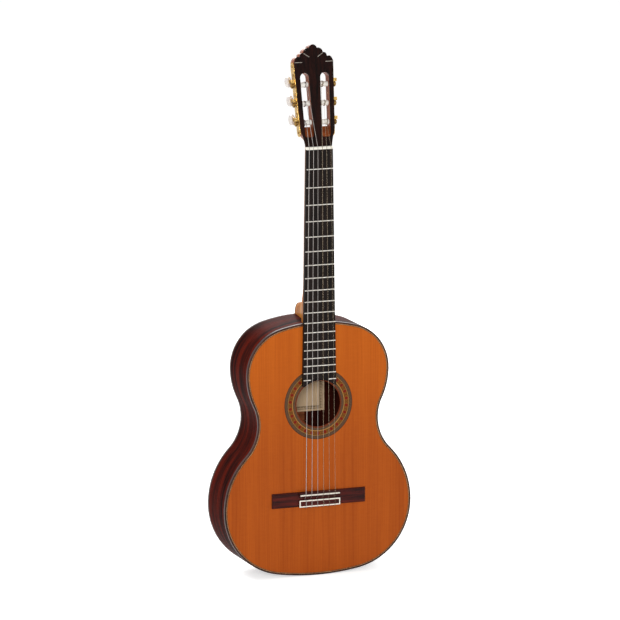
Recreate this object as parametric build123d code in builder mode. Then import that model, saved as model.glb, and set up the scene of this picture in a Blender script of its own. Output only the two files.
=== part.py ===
"""Classical guitar with a slotted head and geared tuners, in millimetres.

+X is the treble side, +Y runs from the soundboard to the back and +Z up the neck. The origin is on
the neck's back, on the centre line, level with the nut's front edge, where a wall hanger bears.
"""

import os
from math import asin, atan2, cos, degrees, hypot, pi, radians, sin

from build123d import *

# ---- strings and fingerboard -------------------------------------------------------------------
scale_length = 650.0
fret_count = 19
body_join_fret = 12
nut_width = 52.0
join_width = 62.0
fingerboard_thickness = 7.0
fingerboard_overhang = 12.0
neck_depth_at_nut = 22.0
neck_depth_growth = 2.5
nut_thickness = 5.0
nut_height = 2.3
nut_edge_radius = 1.0
nut_slot_clearance = 0.4
glue_line = 0.05
string_rise_at_nut = 1.5
fret_width = 2.2
fret_height = 1.0
fret_tang_width = 0.6
fret_tang_depth = 1.8
fret_end_inset = 0.5
split_fret_gap = 35.0
string_spacing_nut = 8.6
string_spacing_saddle = 11.7
string_diameters = (1.09, 0.89, 0.74, 1.03, 0.82, 0.71)
string_names = ("e6", "a5", "d4", "g3", "b2", "e1")
string_height_saddle = 11.4
string_seat = 0.15
string_over_saddle = 0.65
string_roller_x = (20.0, 17.0, 14.5)
string_bend_radius = 3.0
string_loop_radius = 1.1
string_loop_gap = 0.3
string_end_height = 6.3

# ---- body --------------------------------------------------------------------------------------
body_length = 483.0
upper_bout_width = 282.0
upper_bout_from_top = 95.0
waist_width = 239.0
waist_from_top = 189.0
lower_bout_width = 372.0
lower_bout_from_top = 351.0
top_arc_radius = 292.0
bottom_arc_radius = 475.0
waist_radius = 84.0
body_depth = 98.5
back_arch_radius = 4500.0
soundboard_thickness = 2.5
back_thickness = 2.5
rib_thickness = 2.4
binding_depth = 5.5
purfling_width = 2.8
purfling_depth = 1.2
lining_width = 6.0
lining_height = 14.0
end_block_width = 60.0
end_block_length = 14.0
end_strip_width = 12.0
centre_strip_width = 6.0
inner_strip_width = 15.0
inner_strip_thickness = 2.0

# ---- soundhole, rosette and label --------------------------------------------------------------
soundhole_radius = 43.7
soundhole_from_join = 155.3
fingerboard_end_radius = 46.0
rosette_inner_radius = 45.8
rosette_outer_radius = 67.4
rosette_depth = 1.0
label_width = 86.0
label_height = 68.0
label_thickness = 0.4
label_centre_x = 5.0
label_bottom_from_join = 189.5

# ---- braces ------------------------------------------------------------------------------------
bar_width = 8.0
bar_height = 18.0
bar_margin = 9.0
fan_brace_count = 7
fan_brace_width = 6.0
fan_brace_height = 4.0
fan_brace_length = 205.0
fan_spread_top = 20.0
fan_spread_bottom = 33.0
fan_brace_gap = 6.0
back_brace_width = 8.0
back_brace_height = 15.0
back_braces_from_join = (66.0, 235.0, 375.0)

# ---- bridge ------------------------------------------------------------------------------------
bridge_width = 186.0
bridge_depth = 28.0
bridge_front_to_saddle = 5.5
wing_height = 4.2
wing_bevel = 2.2
centre_block_width = 81.0
saddle_ridge_depth = 9.0
saddle_ridge_height = 8.4
tie_block_depth = 13.0
tie_block_height = 8.8
tie_valley_height = 4.0
saddle_length = 78.0
saddle_thickness = 2.5
saddle_slot_depth = 4.0
saddle_setback = 1.5
tie_hole_radius = 1.0
tie_hole_height = 4.8
trim_width = 2.2
trim_thickness = 1.5

# ---- neck and heel -----------------------------------------------------------------------------
heel_start_from_join = 74.0
heel_corner_from_join = 41.0
heel_curve_radius = 38.0
heel_cap_length = 20.0
heel_tip_width = 23.0
heel_cap_thickness = 2.5
heel_tip_inset = 0.5
heel_waist_width = 34.0
heel_waist_from_top = 44.3
heel_flare_width = 53.3
heel_flare_from_top = 19.7
neck_block_width = 62.0
neck_block_length = 30.0
rib_slot_gap = 18.0

# ---- head --------------------------------------------------------------------------------------
head_tilt = 10.0
head_thickness = 20.0
veneer_thickness = 2.5
head_width_low = 67.0
head_low_at = 32.0
head_width_high = 77.0
head_high_at = 157.0
neck_curve_share = (0.33, 0.42)
crown_points = (
    ((36.6, 161.6), (35.6, 163.4), (31.0, 166.8)),
    ((28.6, 166.2), (26.3, 167.0)),
    ((25.6, 170.4), (19.2, 173.4)),
    ((16.2, 179.6), (7.6, 182.0)),
    ((5.6, 185.8), (0.0, 188.6)),
)
head_slot_width = 17.5
head_slot_start = (16.6, 23.6)
head_slot_end = (19.8, 127.4)
slot_ramp_angle = 42.0
inlay_width = 0.9
inlay_depth = 0.6
side_inlay_height = 156.0
side_inlay_from = 23.0
diagonal_inlay = ((19.0, 172.4), (8.2, 165.2))

# ---- tuners ------------------------------------------------------------------------------------
roller_stations = (44.4, 79.4, 114.4)
roller_depth = 11.0
roller_radius = 5.0
roller_pin_radius = 3.0
roller_tip_radius = 2.5
roller_tip_length = 6.5
roller_end_gap = 0.4
fit_clearance = 0.05
plate_length = 136.0
plate_width = 15.0
plate_thickness = 1.2
plate_offset = 8.6
plate_screw_places = (-52.0, -17.0, 18.0, 54.0, 70.0)
roller_tenon = 3.6
gear_module = 0.7
gear_teeth = 14
gear_addendum = 0.5
gear_dedendum = 0.8
gear_width = 3.0
gear_hub_radius = 3.6
gear_screw_radius = 3.0
gear_screw_height = 1.3
gear_screw_shank_radius = 0.8
gear_screw_shank_length = 4.0
gear_screw_slot = 0.6
worm_pitch_radius = 2.6
worm_outer_radius = 3.25
worm_root_radius = 1.75
worm_turns = 2.5
tooth_root_half = 0.5
tooth_tip_half = 0.22
thread_root_half = 0.52
thread_tip_half = 0.2
thread_sink = 0.25
worm_end_gap = 0.15
shaft_front_reach = 0.6
worm_to_plate_gap = 0.35
shaft_radius = 1.5
lug_width = 6.4
lug_thickness = 2.0
lug_spacing = 11.0
lug_wall = 1.3
shaft_to_button = 5.0
button_length = 15.0
button_height = 20.0
button_thickness = 9.6
button_edge_radius = 2.1
button_bore_depth = 9.0
plate_screw_radius = 1.1
plate_screw_head_radius = 2.2
plate_screw_head_height = 1.1
plate_screw_length = 9.0

# ---- how far a cutting shape runs past what it cuts ---------------------------------------------
cut_overrun = 10.0
cut_margin = 1.0

# ---- places worked out from the sizes ----------------------------------------------------------
fingerboard_top = -neck_depth_at_nut
soundboard_top = fingerboard_top + fingerboard_thickness
body_top = -scale_length * (1 - 2 ** (-body_join_fret / 12))
body_bottom = body_top - body_length
back_crown = soundboard_top + body_depth
soundhole_z = body_top - soundhole_from_join
last_fret_z = -scale_length * (1 - 2 ** (-fret_count / 12))
fingerboard_end = last_fret_z - fingerboard_overhang
saddle_z = -scale_length - saddle_setback
bridge_front = saddle_z + bridge_front_to_saddle
bridge_back = bridge_front - bridge_depth
lining_inset = rib_thickness + lining_width
heel_tip = back_crown - heel_tip_inset
gear_pitch_radius = gear_module * gear_teeth / 2
worm_lead = pi * gear_module
worm_centre_distance = gear_pitch_radius + worm_pitch_radius
worm_offset = plate_thickness + worm_to_plate_gap + worm_outer_radius
middle_string = (len(string_diameters) - 1) / 2

os.makedirs("parts", exist_ok=True)


def fret_place(number):
    """Height of a fret's centre line."""
    return -scale_length * (1 - 2 ** (-number / 12))


def board_width(height):
    """Width of the fingerboard at a height."""
    return nut_width + (join_width - nut_width) * height / body_top


def facing(depth):
    """Plane at a depth behind or before the neck's back, whose extrusions come forwards."""
    return Plane.XZ.offset(-depth)


def end_arc_radius(end_arc, from_end, half_width):
    """Radius of the arc that runs from a widest point into an end arc without a kink."""
    return (2 * end_arc * from_end - half_width**2 - from_end**2) / (2 * (end_arc - half_width))


def flank_arc_radius(half_width, rise):
    """Radius of the arc that runs from a widest point into the waist arc without a kink."""
    narrowing = half_width - waist_width / 2
    return (narrowing**2 + rise**2) / (2 * narrowing) - waist_radius


def outline_arcs(inset):
    """Arcs of the treble half of the outline: centre x, centre z, radius, first and last angle."""
    upper = upper_bout_width / 2
    lower = lower_bout_width / 2
    upper_z = body_top - upper_bout_from_top
    lower_z = body_top - lower_bout_from_top
    waist_z = body_top - waist_from_top
    shoulder = end_arc_radius(top_arc_radius, upper_bout_from_top, upper)
    hip = end_arc_radius(bottom_arc_radius, body_length - lower_bout_from_top, lower)
    upper_flank = flank_arc_radius(upper, waist_from_top - upper_bout_from_top)
    lower_flank = flank_arc_radius(lower, lower_bout_from_top - waist_from_top)
    top_z = body_top - top_arc_radius
    bottom_z = body_bottom + bottom_arc_radius
    waist_x = waist_width / 2 + waist_radius
    top_end = atan2(upper_z - top_z, upper - shoulder)
    upper_end = atan2(waist_z - upper_z, waist_x - (upper - upper_flank))
    lower_start = atan2(waist_z - lower_z, waist_x - (lower - lower_flank))
    bottom_start = atan2(lower_z - bottom_z, lower - hip)
    return (
        (0, top_z, top_arc_radius - inset, pi / 2, top_end),
        (upper - shoulder, upper_z, shoulder - inset, top_end, 0),
        (upper - upper_flank, upper_z, upper_flank - inset, 0, upper_end),
        (waist_x, waist_z, waist_radius + inset, pi + upper_end, pi + lower_start),
        (lower - lower_flank, lower_z, lower_flank - inset, lower_start, 0),
        (lower - hip, lower_z, hip - inset, 0, bottom_start),
        (0, bottom_z, bottom_arc_radius - inset, bottom_start, -pi / 2),
    )


def body_outline(inset):
    """Edges of the body's outline, moved inwards by inset."""
    with BuildLine() as outline:
        for side in (1, -1):
            for x, z, radius, first, last in outline_arcs(inset):
                angles = (first, (first + last) / 2, last)
                ThreePointArc(*[(side * (x + radius * cos(a)), z + radius * sin(a)) for a in angles])
    return outline.edges()


def arch_band(near, far):
    """Edges of a band across the body that follows the back's arch, between two distances from it."""
    reach = lower_bout_width / 2 + cut_overrun
    with BuildLine() as band:
        corners = []
        for distance in (near, far):
            crown = back_crown - distance
            edge = crown - (back_arch_radius - (back_arch_radius**2 - reach**2) ** 0.5)
            ThreePointArc((-reach, edge), (0, crown), (reach, edge))
            corners.append(edge)
        for side in (-reach, reach):
            Line((side, corners[0]), (side, corners[1]))
    return band.edges()


arch_plane = Plane.XY.offset(body_bottom - cut_overrun)
arch_length = body_length + 2 * cut_overrun
whole_depth = body_depth + 2 * cut_overrun

# ---- soundboard: two bookmatched halves with ledges for the purfling and the rosette -----------
with BuildPart() as soundboard:
    with BuildSketch(facing(soundboard_top + soundboard_thickness)):
        make_face(body_outline(rib_thickness))
        with Locations((0, soundhole_z)):
            Circle(soundhole_radius, mode=Mode.SUBTRACT)
    extrude(amount=soundboard_thickness)
    with BuildSketch(facing(soundboard_top + purfling_depth)):
        make_face(body_outline(rib_thickness))
        make_face(body_outline(rib_thickness + purfling_width), mode=Mode.SUBTRACT)
    extrude(amount=purfling_depth, mode=Mode.SUBTRACT)
    with BuildSketch(facing(soundboard_top + rosette_depth)):
        with Locations((0, soundhole_z)):
            Circle(rosette_outer_radius)
            Circle(rosette_inner_radius, mode=Mode.SUBTRACT)
    extrude(amount=rosette_depth, mode=Mode.SUBTRACT)
    split(bisect_by=Plane.YZ, keep=Keep.BOTH)

with BuildPart() as purfling_top:
    with BuildSketch(facing(soundboard_top + purfling_depth)):
        make_face(body_outline(rib_thickness))
        make_face(body_outline(rib_thickness + purfling_width), mode=Mode.SUBTRACT)
    extrude(amount=purfling_depth)

with BuildPart() as rosette:
    with BuildSketch(facing(soundboard_top + rosette_depth)):
        with Locations((0, soundhole_z)):
            Circle(rosette_outer_radius)
            Circle(rosette_inner_radius, mode=Mode.SUBTRACT)
    extrude(amount=rosette_depth)

# ---- bindings that cap the ribs' two edges -----------------------------------------------------
with BuildPart() as binding_top:
    with BuildSketch(facing(soundboard_top + binding_depth)):
        make_face(body_outline(0))
        make_face(body_outline(rib_thickness), mode=Mode.SUBTRACT)
    extrude(amount=binding_depth)

with BuildPart() as binding_back:
    with BuildSketch(facing(soundboard_top + whole_depth)):
        make_face(body_outline(0))
        make_face(body_outline(rib_thickness), mode=Mode.SUBTRACT)
    extrude(amount=whole_depth)
    with BuildSketch(arch_plane):
        make_face(arch_band(0, binding_depth))
    extrude(amount=arch_length, mode=Mode.INTERSECT)

# ---- back: two arched halves with a strip between them -----------------------------------------
with BuildPart() as back:
    with BuildSketch(facing(soundboard_top + whole_depth)):
        make_face(body_outline(rib_thickness))
        with Locations((0, (body_top + body_bottom) / 2)):
            Rectangle(centre_strip_width, body_length, mode=Mode.SUBTRACT)
    extrude(amount=whole_depth)
    with BuildSketch(arch_plane):
        make_face(arch_band(0, back_thickness))
    extrude(amount=arch_length, mode=Mode.INTERSECT)

with BuildPart() as back_centre_strip:
    with BuildSketch(facing(soundboard_top + whole_depth)):
        make_face(body_outline(rib_thickness))
        with Locations((0, (body_top + body_bottom) / 2)):
            Rectangle(centre_strip_width, body_length, mode=Mode.INTERSECT)
    extrude(amount=whole_depth)
    with BuildSketch(arch_plane):
        make_face(arch_band(0, back_thickness))
    extrude(amount=arch_length, mode=Mode.INTERSECT)


def rib_ring(x_low, x_high, middle_z):
    """Stretch of the ring of ribs between two x places, in the body's half that holds middle_z."""
    with BuildPart() as ring:
        with BuildSketch(facing(soundboard_top + whole_depth)):
            make_face(body_outline(0))
            make_face(body_outline(rib_thickness), mode=Mode.SUBTRACT)
            with Locations(((x_low + x_high) / 2, middle_z)):
                Rectangle(x_high - x_low, body_length, mode=Mode.INTERSECT)
        extrude(amount=whole_depth - binding_depth)
        with BuildSketch(arch_plane):
            make_face(arch_band(binding_depth, whole_depth))
        extrude(amount=arch_length, mode=Mode.INTERSECT)
    return ring.part


# ---- ribs, let into slots in the neck's heel and joined by a strip at the tail -----------------
with BuildPart() as treble_side:
    with BuildSketch(facing(soundboard_top + whole_depth)):
        make_face(body_outline(0))
        make_face(body_outline(rib_thickness), mode=Mode.SUBTRACT)
        with Locations((0, body_top)):
            Rectangle(rib_slot_gap, body_length, mode=Mode.SUBTRACT)
        with Locations((0, body_bottom)):
            Rectangle(end_strip_width, body_length, mode=Mode.SUBTRACT)
        split(bisect_by=Plane.YZ, keep=Keep.TOP)
    extrude(amount=whole_depth - binding_depth)
    with BuildSketch(arch_plane):
        make_face(arch_band(binding_depth, whole_depth))
    extrude(amount=arch_length, mode=Mode.INTERSECT)

with BuildPart() as bass_side:
    mirror(treble_side.part, about=Plane.YZ)

with BuildPart() as end_strip:
    add(rib_ring(-end_strip_width / 2, end_strip_width / 2, body_bottom))

# ---- blocks and linings ------------------------------------------------------------------------
with BuildPart() as end_block:
    with BuildSketch(facing(soundboard_top + whole_depth)):
        make_face(body_outline(rib_thickness))
        with Locations((0, body_bottom)):
            Rectangle(end_block_width, 2 * (rib_thickness + end_block_length), mode=Mode.INTERSECT)
    extrude(amount=whole_depth - soundboard_thickness)
    with BuildSketch(arch_plane):
        make_face(arch_band(back_thickness, whole_depth))
    extrude(amount=arch_length, mode=Mode.INTERSECT)


def lining_footprint():
    """Face of the linings between the neck's block and the end block."""
    with BuildSketch() as footprint:
        make_face(body_outline(rib_thickness))
        make_face(body_outline(lining_inset), mode=Mode.SUBTRACT)
        with Locations((0, body_top)):
            Rectangle(neck_block_width, body_length, mode=Mode.SUBTRACT)
        with Locations((0, body_bottom)):
            Rectangle(end_block_width, body_length, mode=Mode.SUBTRACT)
    return footprint.sketch


with BuildPart() as linings:
    with BuildSketch(facing(soundboard_top + whole_depth)):
        add(lining_footprint())
    extrude(amount=whole_depth - soundboard_thickness)
    with BuildSketch(arch_plane):
        make_face(arch_band(back_thickness, back_thickness + lining_height))
    extrude(amount=arch_length, mode=Mode.INTERSECT)
    with BuildSketch(facing(soundboard_top + soundboard_thickness + lining_height)):
        add(lining_footprint())
    extrude(amount=lining_height)

# ---- braces under the soundboard ---------------------------------------------------------------
upper_bar_z = soundhole_z + soundhole_radius + bar_margin + bar_width / 2
lower_bar_z = soundhole_z - soundhole_radius - bar_margin - bar_width / 2
fan_start_z = lower_bar_z - bar_width / 2 - fan_brace_gap

with BuildPart() as soundboard_braces:
    with BuildSketch(facing(soundboard_top + soundboard_thickness + bar_height)):
        make_face(body_outline(lining_inset))
        with Locations((0, upper_bar_z), (0, lower_bar_z)):
            Rectangle(lower_bout_width, bar_width, mode=Mode.INTERSECT)
    extrude(amount=bar_height)
    with BuildSketch(facing(soundboard_top + soundboard_thickness + fan_brace_height)):
        for number in range(fan_brace_count):
            place = number - (fan_brace_count - 1) / 2
            spread = place * (fan_spread_bottom - fan_spread_top)
            length = hypot(spread, fan_brace_length)
            middle = (place * (fan_spread_top + fan_spread_bottom) / 2, fan_start_z - fan_brace_length / 2)
            with Locations(Location(middle, degrees(asin(spread / length)))):
                Rectangle(fan_brace_width, length)
    extrude(amount=fan_brace_height)

# ---- braces, strip and label on the back's inner face ------------------------------------------
back_brace_heights = [body_top - distance for distance in back_braces_from_join]
label_bottom = body_top - label_bottom_from_join

with BuildPart() as back_braces:
    with BuildSketch(facing(soundboard_top + whole_depth)):
        make_face(body_outline(lining_inset))
        with Locations(*[(0, height) for height in back_brace_heights]):
            Rectangle(lower_bout_width, back_brace_width, mode=Mode.INTERSECT)
    extrude(amount=whole_depth)
    with BuildSketch(arch_plane):
        make_face(arch_band(back_thickness, back_thickness + back_brace_height))
    extrude(amount=arch_length, mode=Mode.INTERSECT)

with BuildPart() as back_inner_strip:
    with BuildSketch(facing(soundboard_top + whole_depth)):
        with Locations((0, (body_top + body_bottom) / 2)):
            Rectangle(inner_strip_width, body_length)
        with Locations(*[(0, height) for height in back_brace_heights]):
            Rectangle(inner_strip_width, back_brace_width, mode=Mode.SUBTRACT)
        with Locations((0, body_top)):
            Rectangle(inner_strip_width, 2 * neck_block_length, mode=Mode.SUBTRACT)
        with Locations((0, body_bottom)):
            Rectangle(inner_strip_width, 2 * (rib_thickness + end_block_length), mode=Mode.SUBTRACT)
        with Locations((0, label_bottom + label_height / 2)):
            Rectangle(inner_strip_width, label_height, mode=Mode.SUBTRACT)
    extrude(amount=whole_depth)
    with BuildSketch(arch_plane):
        make_face(arch_band(back_thickness, back_thickness + inner_strip_thickness))
    extrude(amount=arch_length, mode=Mode.INTERSECT)

with BuildPart() as label:
    with BuildSketch(facing(soundboard_top + whole_depth)):
        with Locations((label_centre_x, label_bottom + label_height / 2)):
            Rectangle(label_width, label_height)
    extrude(amount=whole_depth)
    with BuildSketch(arch_plane):
        make_face(arch_band(back_thickness, back_thickness + label_thickness))
    extrude(amount=arch_length, mode=Mode.INTERSECT)

# ---- neck: a D-shaped shaft, the heel, and the block inside the body ---------------------------
head_origin = Vector(0, soundboard_top - veneer_thickness, nut_thickness)
head_normal = Vector(0, -cos(radians(head_tilt)), sin(radians(head_tilt)))
head_face = Plane(origin=head_origin, x_dir=(1, 0, 0), z_dir=head_normal)
neck_end = Plane(origin=head_origin, x_dir=(1, 0, 0), z_dir=head_face.y_dir)
heel_start = body_top + heel_start_from_join
neck_back_at_heel = neck_depth_growth * heel_start / body_top
shaft_overrun = nut_thickness + head_thickness


def shaft_section(height):
    """Half ellipse of the neck's section at a height, flat on the fingerboard's side."""
    growth = neck_depth_growth * height / heel_start
    depth = neck_depth_at_nut - fingerboard_thickness + growth
    with BuildSketch(Plane.XY.offset(height)) as section:
        with Locations((0, soundboard_top)):
            Ellipse(board_width(height) / 2, depth)
        with Locations((0, soundboard_top - depth)):
            Rectangle(join_width * 2, depth * 2, mode=Mode.SUBTRACT)
    return section.sketch


with BuildPart() as neck_blank:
    add(shaft_section(shaft_overrun))
    add(shaft_section(body_top - neck_block_length))
    loft()
    split(bisect_by=neck_end, keep=Keep.BOTTOM)

with BuildPart() as heel_blank:
    with BuildSketch(Plane.YZ):
        with BuildLine():
            tip_front = (heel_tip, body_top + heel_cap_length)
            corner = (neck_back_at_heel, body_top + heel_corner_from_join)
            Line((soundboard_top, heel_start), (neck_back_at_heel, heel_start))
            FilletPolyline((neck_back_at_heel, heel_start), corner, tip_front, radius=heel_curve_radius)
            Line(tip_front, (heel_tip, body_top - neck_block_length))
            Line((heel_tip, body_top - neck_block_length), (soundboard_top, body_top - neck_block_length))
            Line((soundboard_top, body_top - neck_block_length), (soundboard_top, heel_start))
        make_face()
    extrude(amount=join_width / 2, both=True)
    with BuildSketch(Plane.XY.offset(body_top - neck_block_length)):
        with BuildLine():
            for side in (1, -1):
                root = (side * board_width(body_top) / 2, soundboard_top)
                throat = (side * heel_waist_width / 2, soundboard_top + heel_waist_from_top)
                tip = (side * heel_tip_width / 2, heel_tip)
                flare = (side * heel_flare_width / 2, soundboard_top + heel_flare_from_top)
                ThreePointArc(root, flare, throat)
                Line(throat, tip)
            Line((-heel_tip_width / 2, heel_tip), (heel_tip_width / 2, heel_tip))
            Line((-board_width(body_top) / 2, soundboard_top), (board_width(body_top) / 2, soundboard_top))
        make_face()
    extrude(amount=heel_start_from_join + neck_block_length, mode=Mode.INTERSECT)

with BuildPart() as body_block:
    with BuildSketch(facing(soundboard_top + whole_depth)):
        make_face(body_outline(0))
    extrude(amount=whole_depth + fingerboard_thickness)

with BuildPart() as inner_block:
    with BuildSketch(facing(soundboard_top + whole_depth)):
        make_face(body_outline(rib_thickness))
        with Locations((0, body_top)):
            Rectangle(neck_block_width, 2 * neck_block_length, mode=Mode.INTERSECT)
    extrude(amount=whole_depth - soundboard_thickness)
    with BuildSketch(arch_plane):
        make_face(arch_band(back_thickness, whole_depth))
    extrude(amount=arch_length, mode=Mode.INTERSECT)

cap_plane = facing(heel_tip - heel_cap_thickness)

with BuildPart() as neck:
    add(neck_blank.part)
    add(heel_blank.part)
    split(bisect_by=cap_plane, keep=Keep.TOP)
    add(body_block.part, mode=Mode.SUBTRACT)
    add(rib_ring(-rib_slot_gap / 2, rib_slot_gap / 2, body_top))
    add(inner_block.part)

with BuildPart() as heel_cap:
    add(heel_blank.part)
    split(bisect_by=cap_plane, keep=Keep.BOTTOM)
    add(body_block.part, mode=Mode.SUBTRACT)

# ---- head: outline, string slots with ramps, veneer and inlaid lines ---------------------------


def head_outline():
    """Edges of the head's outline on its face: neck curve, tapered sides and a lobed crown."""
    low = (head_width_low / 2, head_low_at)
    high = (head_width_high / 2, head_high_at)
    base = (board_width(nut_thickness) / 2, 0)
    with BuildLine() as outline:
        for side in (1, -1):
            turned = [(side * x, y) for x, y in (base, low, high)]
            bend_x = base[0] + neck_curve_share[0] * (low[0] - base[0])
            bend = (side * bend_x, neck_curve_share[1] * head_low_at)
            ThreePointArc(turned[0], bend, turned[1])
            Line(turned[1], turned[2])
            last = turned[2]
            Line(last, (side * crown_points[0][0][0], crown_points[0][0][1]))
            last = (side * crown_points[0][0][0], crown_points[0][0][1])
            for points in crown_points:
                places = [(side * x, y) for x, y in points]
                if places[0] == last:
                    places = places[1:]
                ThreePointArc(last, *places)
                last = places[-1]
        Line((-base[0], 0), base)
    return outline.edges()


with BuildPart() as slot_tool:
    with BuildSketch(head_face.offset(-head_thickness)):
        for side in (1, -1):
            start = (side * head_slot_start[0], head_slot_start[1])
            end = (side * head_slot_end[0], head_slot_end[1])
            middle = ((start[0] + end[0]) / 2, (start[1] + end[1]) / 2)
            run = (end[0] - start[0], end[1] - start[1])
            with Locations(Location(middle, degrees(atan2(run[1], run[0])))):
                SlotCenterToCenter(hypot(*run), head_slot_width)
    extrude(amount=head_thickness)
    ramp_foot = head_face.from_local_coords((0, head_slot_start[1] - head_slot_width / 2, 0))
    ramp_plane = Plane(origin=ramp_foot, x_dir=(1, 0, 0), z_dir=head_normal)
    split(bisect_by=ramp_plane.rotated((-slot_ramp_angle, 0, 0)), keep=Keep.TOP)


def head_inlay_lines():
    """Sketch of the four inlaid lines, on a plane parallel to the head's face."""
    edge_x = head_width_high / 2 - inlay_width
    diagonal_run = (diagonal_inlay[0][0] - diagonal_inlay[1][0], diagonal_inlay[0][1] - diagonal_inlay[1][1])
    diagonal_angle = degrees(atan2(diagonal_run[1], diagonal_run[0]))
    diagonal_x = (diagonal_inlay[0][0] + diagonal_inlay[1][0]) / 2
    diagonal_y = (diagonal_inlay[0][1] + diagonal_inlay[1][1]) / 2
    with BuildSketch() as lines:
        for side in (1, -1):
            with Locations((side * (edge_x + side_inlay_from) / 2, side_inlay_height)):
                Rectangle(edge_x - side_inlay_from, inlay_width)
            with Locations(Location((side * diagonal_x, diagonal_y), side * diagonal_angle)):
                Rectangle(hypot(*diagonal_run), inlay_width)
    return lines.sketch


with BuildPart() as head_veneer:
    with BuildSketch(head_face.offset(-veneer_thickness)):
        make_face(head_outline())
    extrude(amount=veneer_thickness)
    add(slot_tool.part, mode=Mode.SUBTRACT)
    with BuildSketch(head_face.offset(-inlay_depth)):
        add(head_inlay_lines())
    extrude(amount=inlay_depth, mode=Mode.SUBTRACT)
    split(bisect_by=Plane.XY.offset(nut_thickness), keep=Keep.TOP)

with BuildPart() as head_inlays:
    with BuildSketch(head_face.offset(-inlay_depth)):
        add(head_inlay_lines())
    extrude(amount=inlay_depth)

# ---- tuner places: a frame on the treble side of the head, x outwards, y up, z to the front ----
side_slope = atan2((head_width_high - head_width_low) / 2, head_high_at - head_low_at)
slot_slope = (head_slot_end[0] - head_slot_start[0]) / (head_slot_end[1] - head_slot_start[1])
outwards = head_face.x_dir * cos(side_slope) - head_face.y_dir * sin(side_slope)


def side_half_width(height):
    """Half the head's width at a height on its face."""
    return head_width_low / 2 + (height - head_low_at) * (head_width_high - head_width_low) / 2 / (
        head_high_at - head_low_at
    )


def station_frame(station):
    """Frame of one tuner on the head's treble side face, level with the roller's axis."""
    place = (side_half_width(station), station, -roller_depth)
    return Plane(origin=head_face.from_local_coords(place), x_dir=outwards, z_dir=head_normal)


def across(frame, reach):
    """Plane square to the roller's axis at a distance out from the head's side."""
    origin = frame.from_local_coords((reach, 0, 0))
    return Plane(origin=origin, x_dir=frame.y_dir, z_dir=frame.x_dir)


def along_worm(frame, level):
    """Plane square to the worm's axis at a level in front of the roller's axis."""
    origin = frame.from_local_coords((worm_offset, worm_centre_distance, level))
    return Plane(origin=origin, x_dir=frame.x_dir, z_dir=frame.z_dir)


def wall_beside(station):
    """Thickness of the head's wall between a string slot and the head's side."""
    slot_x = head_slot_start[0] + (station - head_slot_start[1]) * slot_slope
    return side_half_width(station) - slot_x - head_slot_width / 2


def cylinder_between(plane, radius, length, mode=Mode.ADD):
    """Add a cylinder to the open part, from a plane forwards."""
    with BuildSketch(plane) as disc:
        Circle(radius)
    extrude(disc.sketch, amount=length, mode=mode)


plate_frame = station_frame(roller_stations[1])
screw_frames = [
    Plane(
        origin=plate_frame.from_local_coords((0, place, 0)),
        x_dir=plate_frame.x_dir,
        z_dir=plate_frame.z_dir,
    )
    for place in plate_screw_places
]

with BuildPart() as treble_bores:
    for station in roller_stations:
        frame = station_frame(station)
        wall = wall_beside(station)
        web = -wall - head_slot_width
        bore_start = web - roller_tip_length - roller_end_gap
        pin_bore = roller_pin_radius + fit_clearance
        cylinder_between(across(frame, -wall - cut_margin), pin_bore, wall + cut_margin)
        bore_length = web + cut_margin - bore_start
        cylinder_between(across(frame, bore_start), roller_tip_radius + fit_clearance, bore_length)
    for frame in screw_frames:
        cylinder_between(across(frame, -plate_screw_length), plate_screw_radius, plate_screw_length)

with BuildPart() as head:
    with BuildSketch(head_face.offset(-head_thickness)):
        make_face(head_outline())
    extrude(amount=head_thickness - veneer_thickness)
    add(slot_tool.part, mode=Mode.SUBTRACT)
    add(treble_bores.part, mode=Mode.SUBTRACT)
    mirror(treble_bores.part, about=Plane.YZ, mode=Mode.SUBTRACT)

# ---- tuner plates with two lugs for each worm, and their screws --------------------------------
with BuildPart() as tuner_plate_treble:
    with BuildSketch(across(plate_frame, 0)):
        with Locations((plate_offset, 0)):
            SlotOverall(plate_length, plate_width)
    extrude(amount=plate_thickness)
    for station in roller_stations:
        frame = station_frame(station)
        with BuildSketch(across(frame, 0)):
            with Locations((worm_centre_distance, lug_spacing / 2), (worm_centre_distance, -lug_spacing / 2)):
                Rectangle(lug_width, lug_thickness)
        extrude(amount=worm_offset + shaft_radius + lug_wall)
        cylinder_between(
            along_worm(frame, -lug_spacing), shaft_radius + fit_clearance, 2 * lug_spacing, Mode.SUBTRACT
        )
        cylinder_between(
            across(frame, 0), roller_pin_radius + fit_clearance, plate_thickness, Mode.SUBTRACT
        )
    for frame in screw_frames:
        cylinder_between(across(frame, 0), plate_screw_radius, plate_thickness, Mode.SUBTRACT)

with BuildPart() as tuner_plate_bass:
    mirror(tuner_plate_treble.part, about=Plane.YZ)

with BuildPart() as treble_screws:
    for frame in screw_frames:
        shank = plate_screw_length + plate_thickness
        cylinder_between(across(frame, -plate_screw_length), plate_screw_radius, shank)
        cylinder_between(across(frame, plate_thickness), plate_screw_head_radius, plate_screw_head_height)

with BuildPart() as plate_screws:
    add(treble_screws.part)
    mirror(treble_screws.part, about=Plane.YZ)


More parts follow.
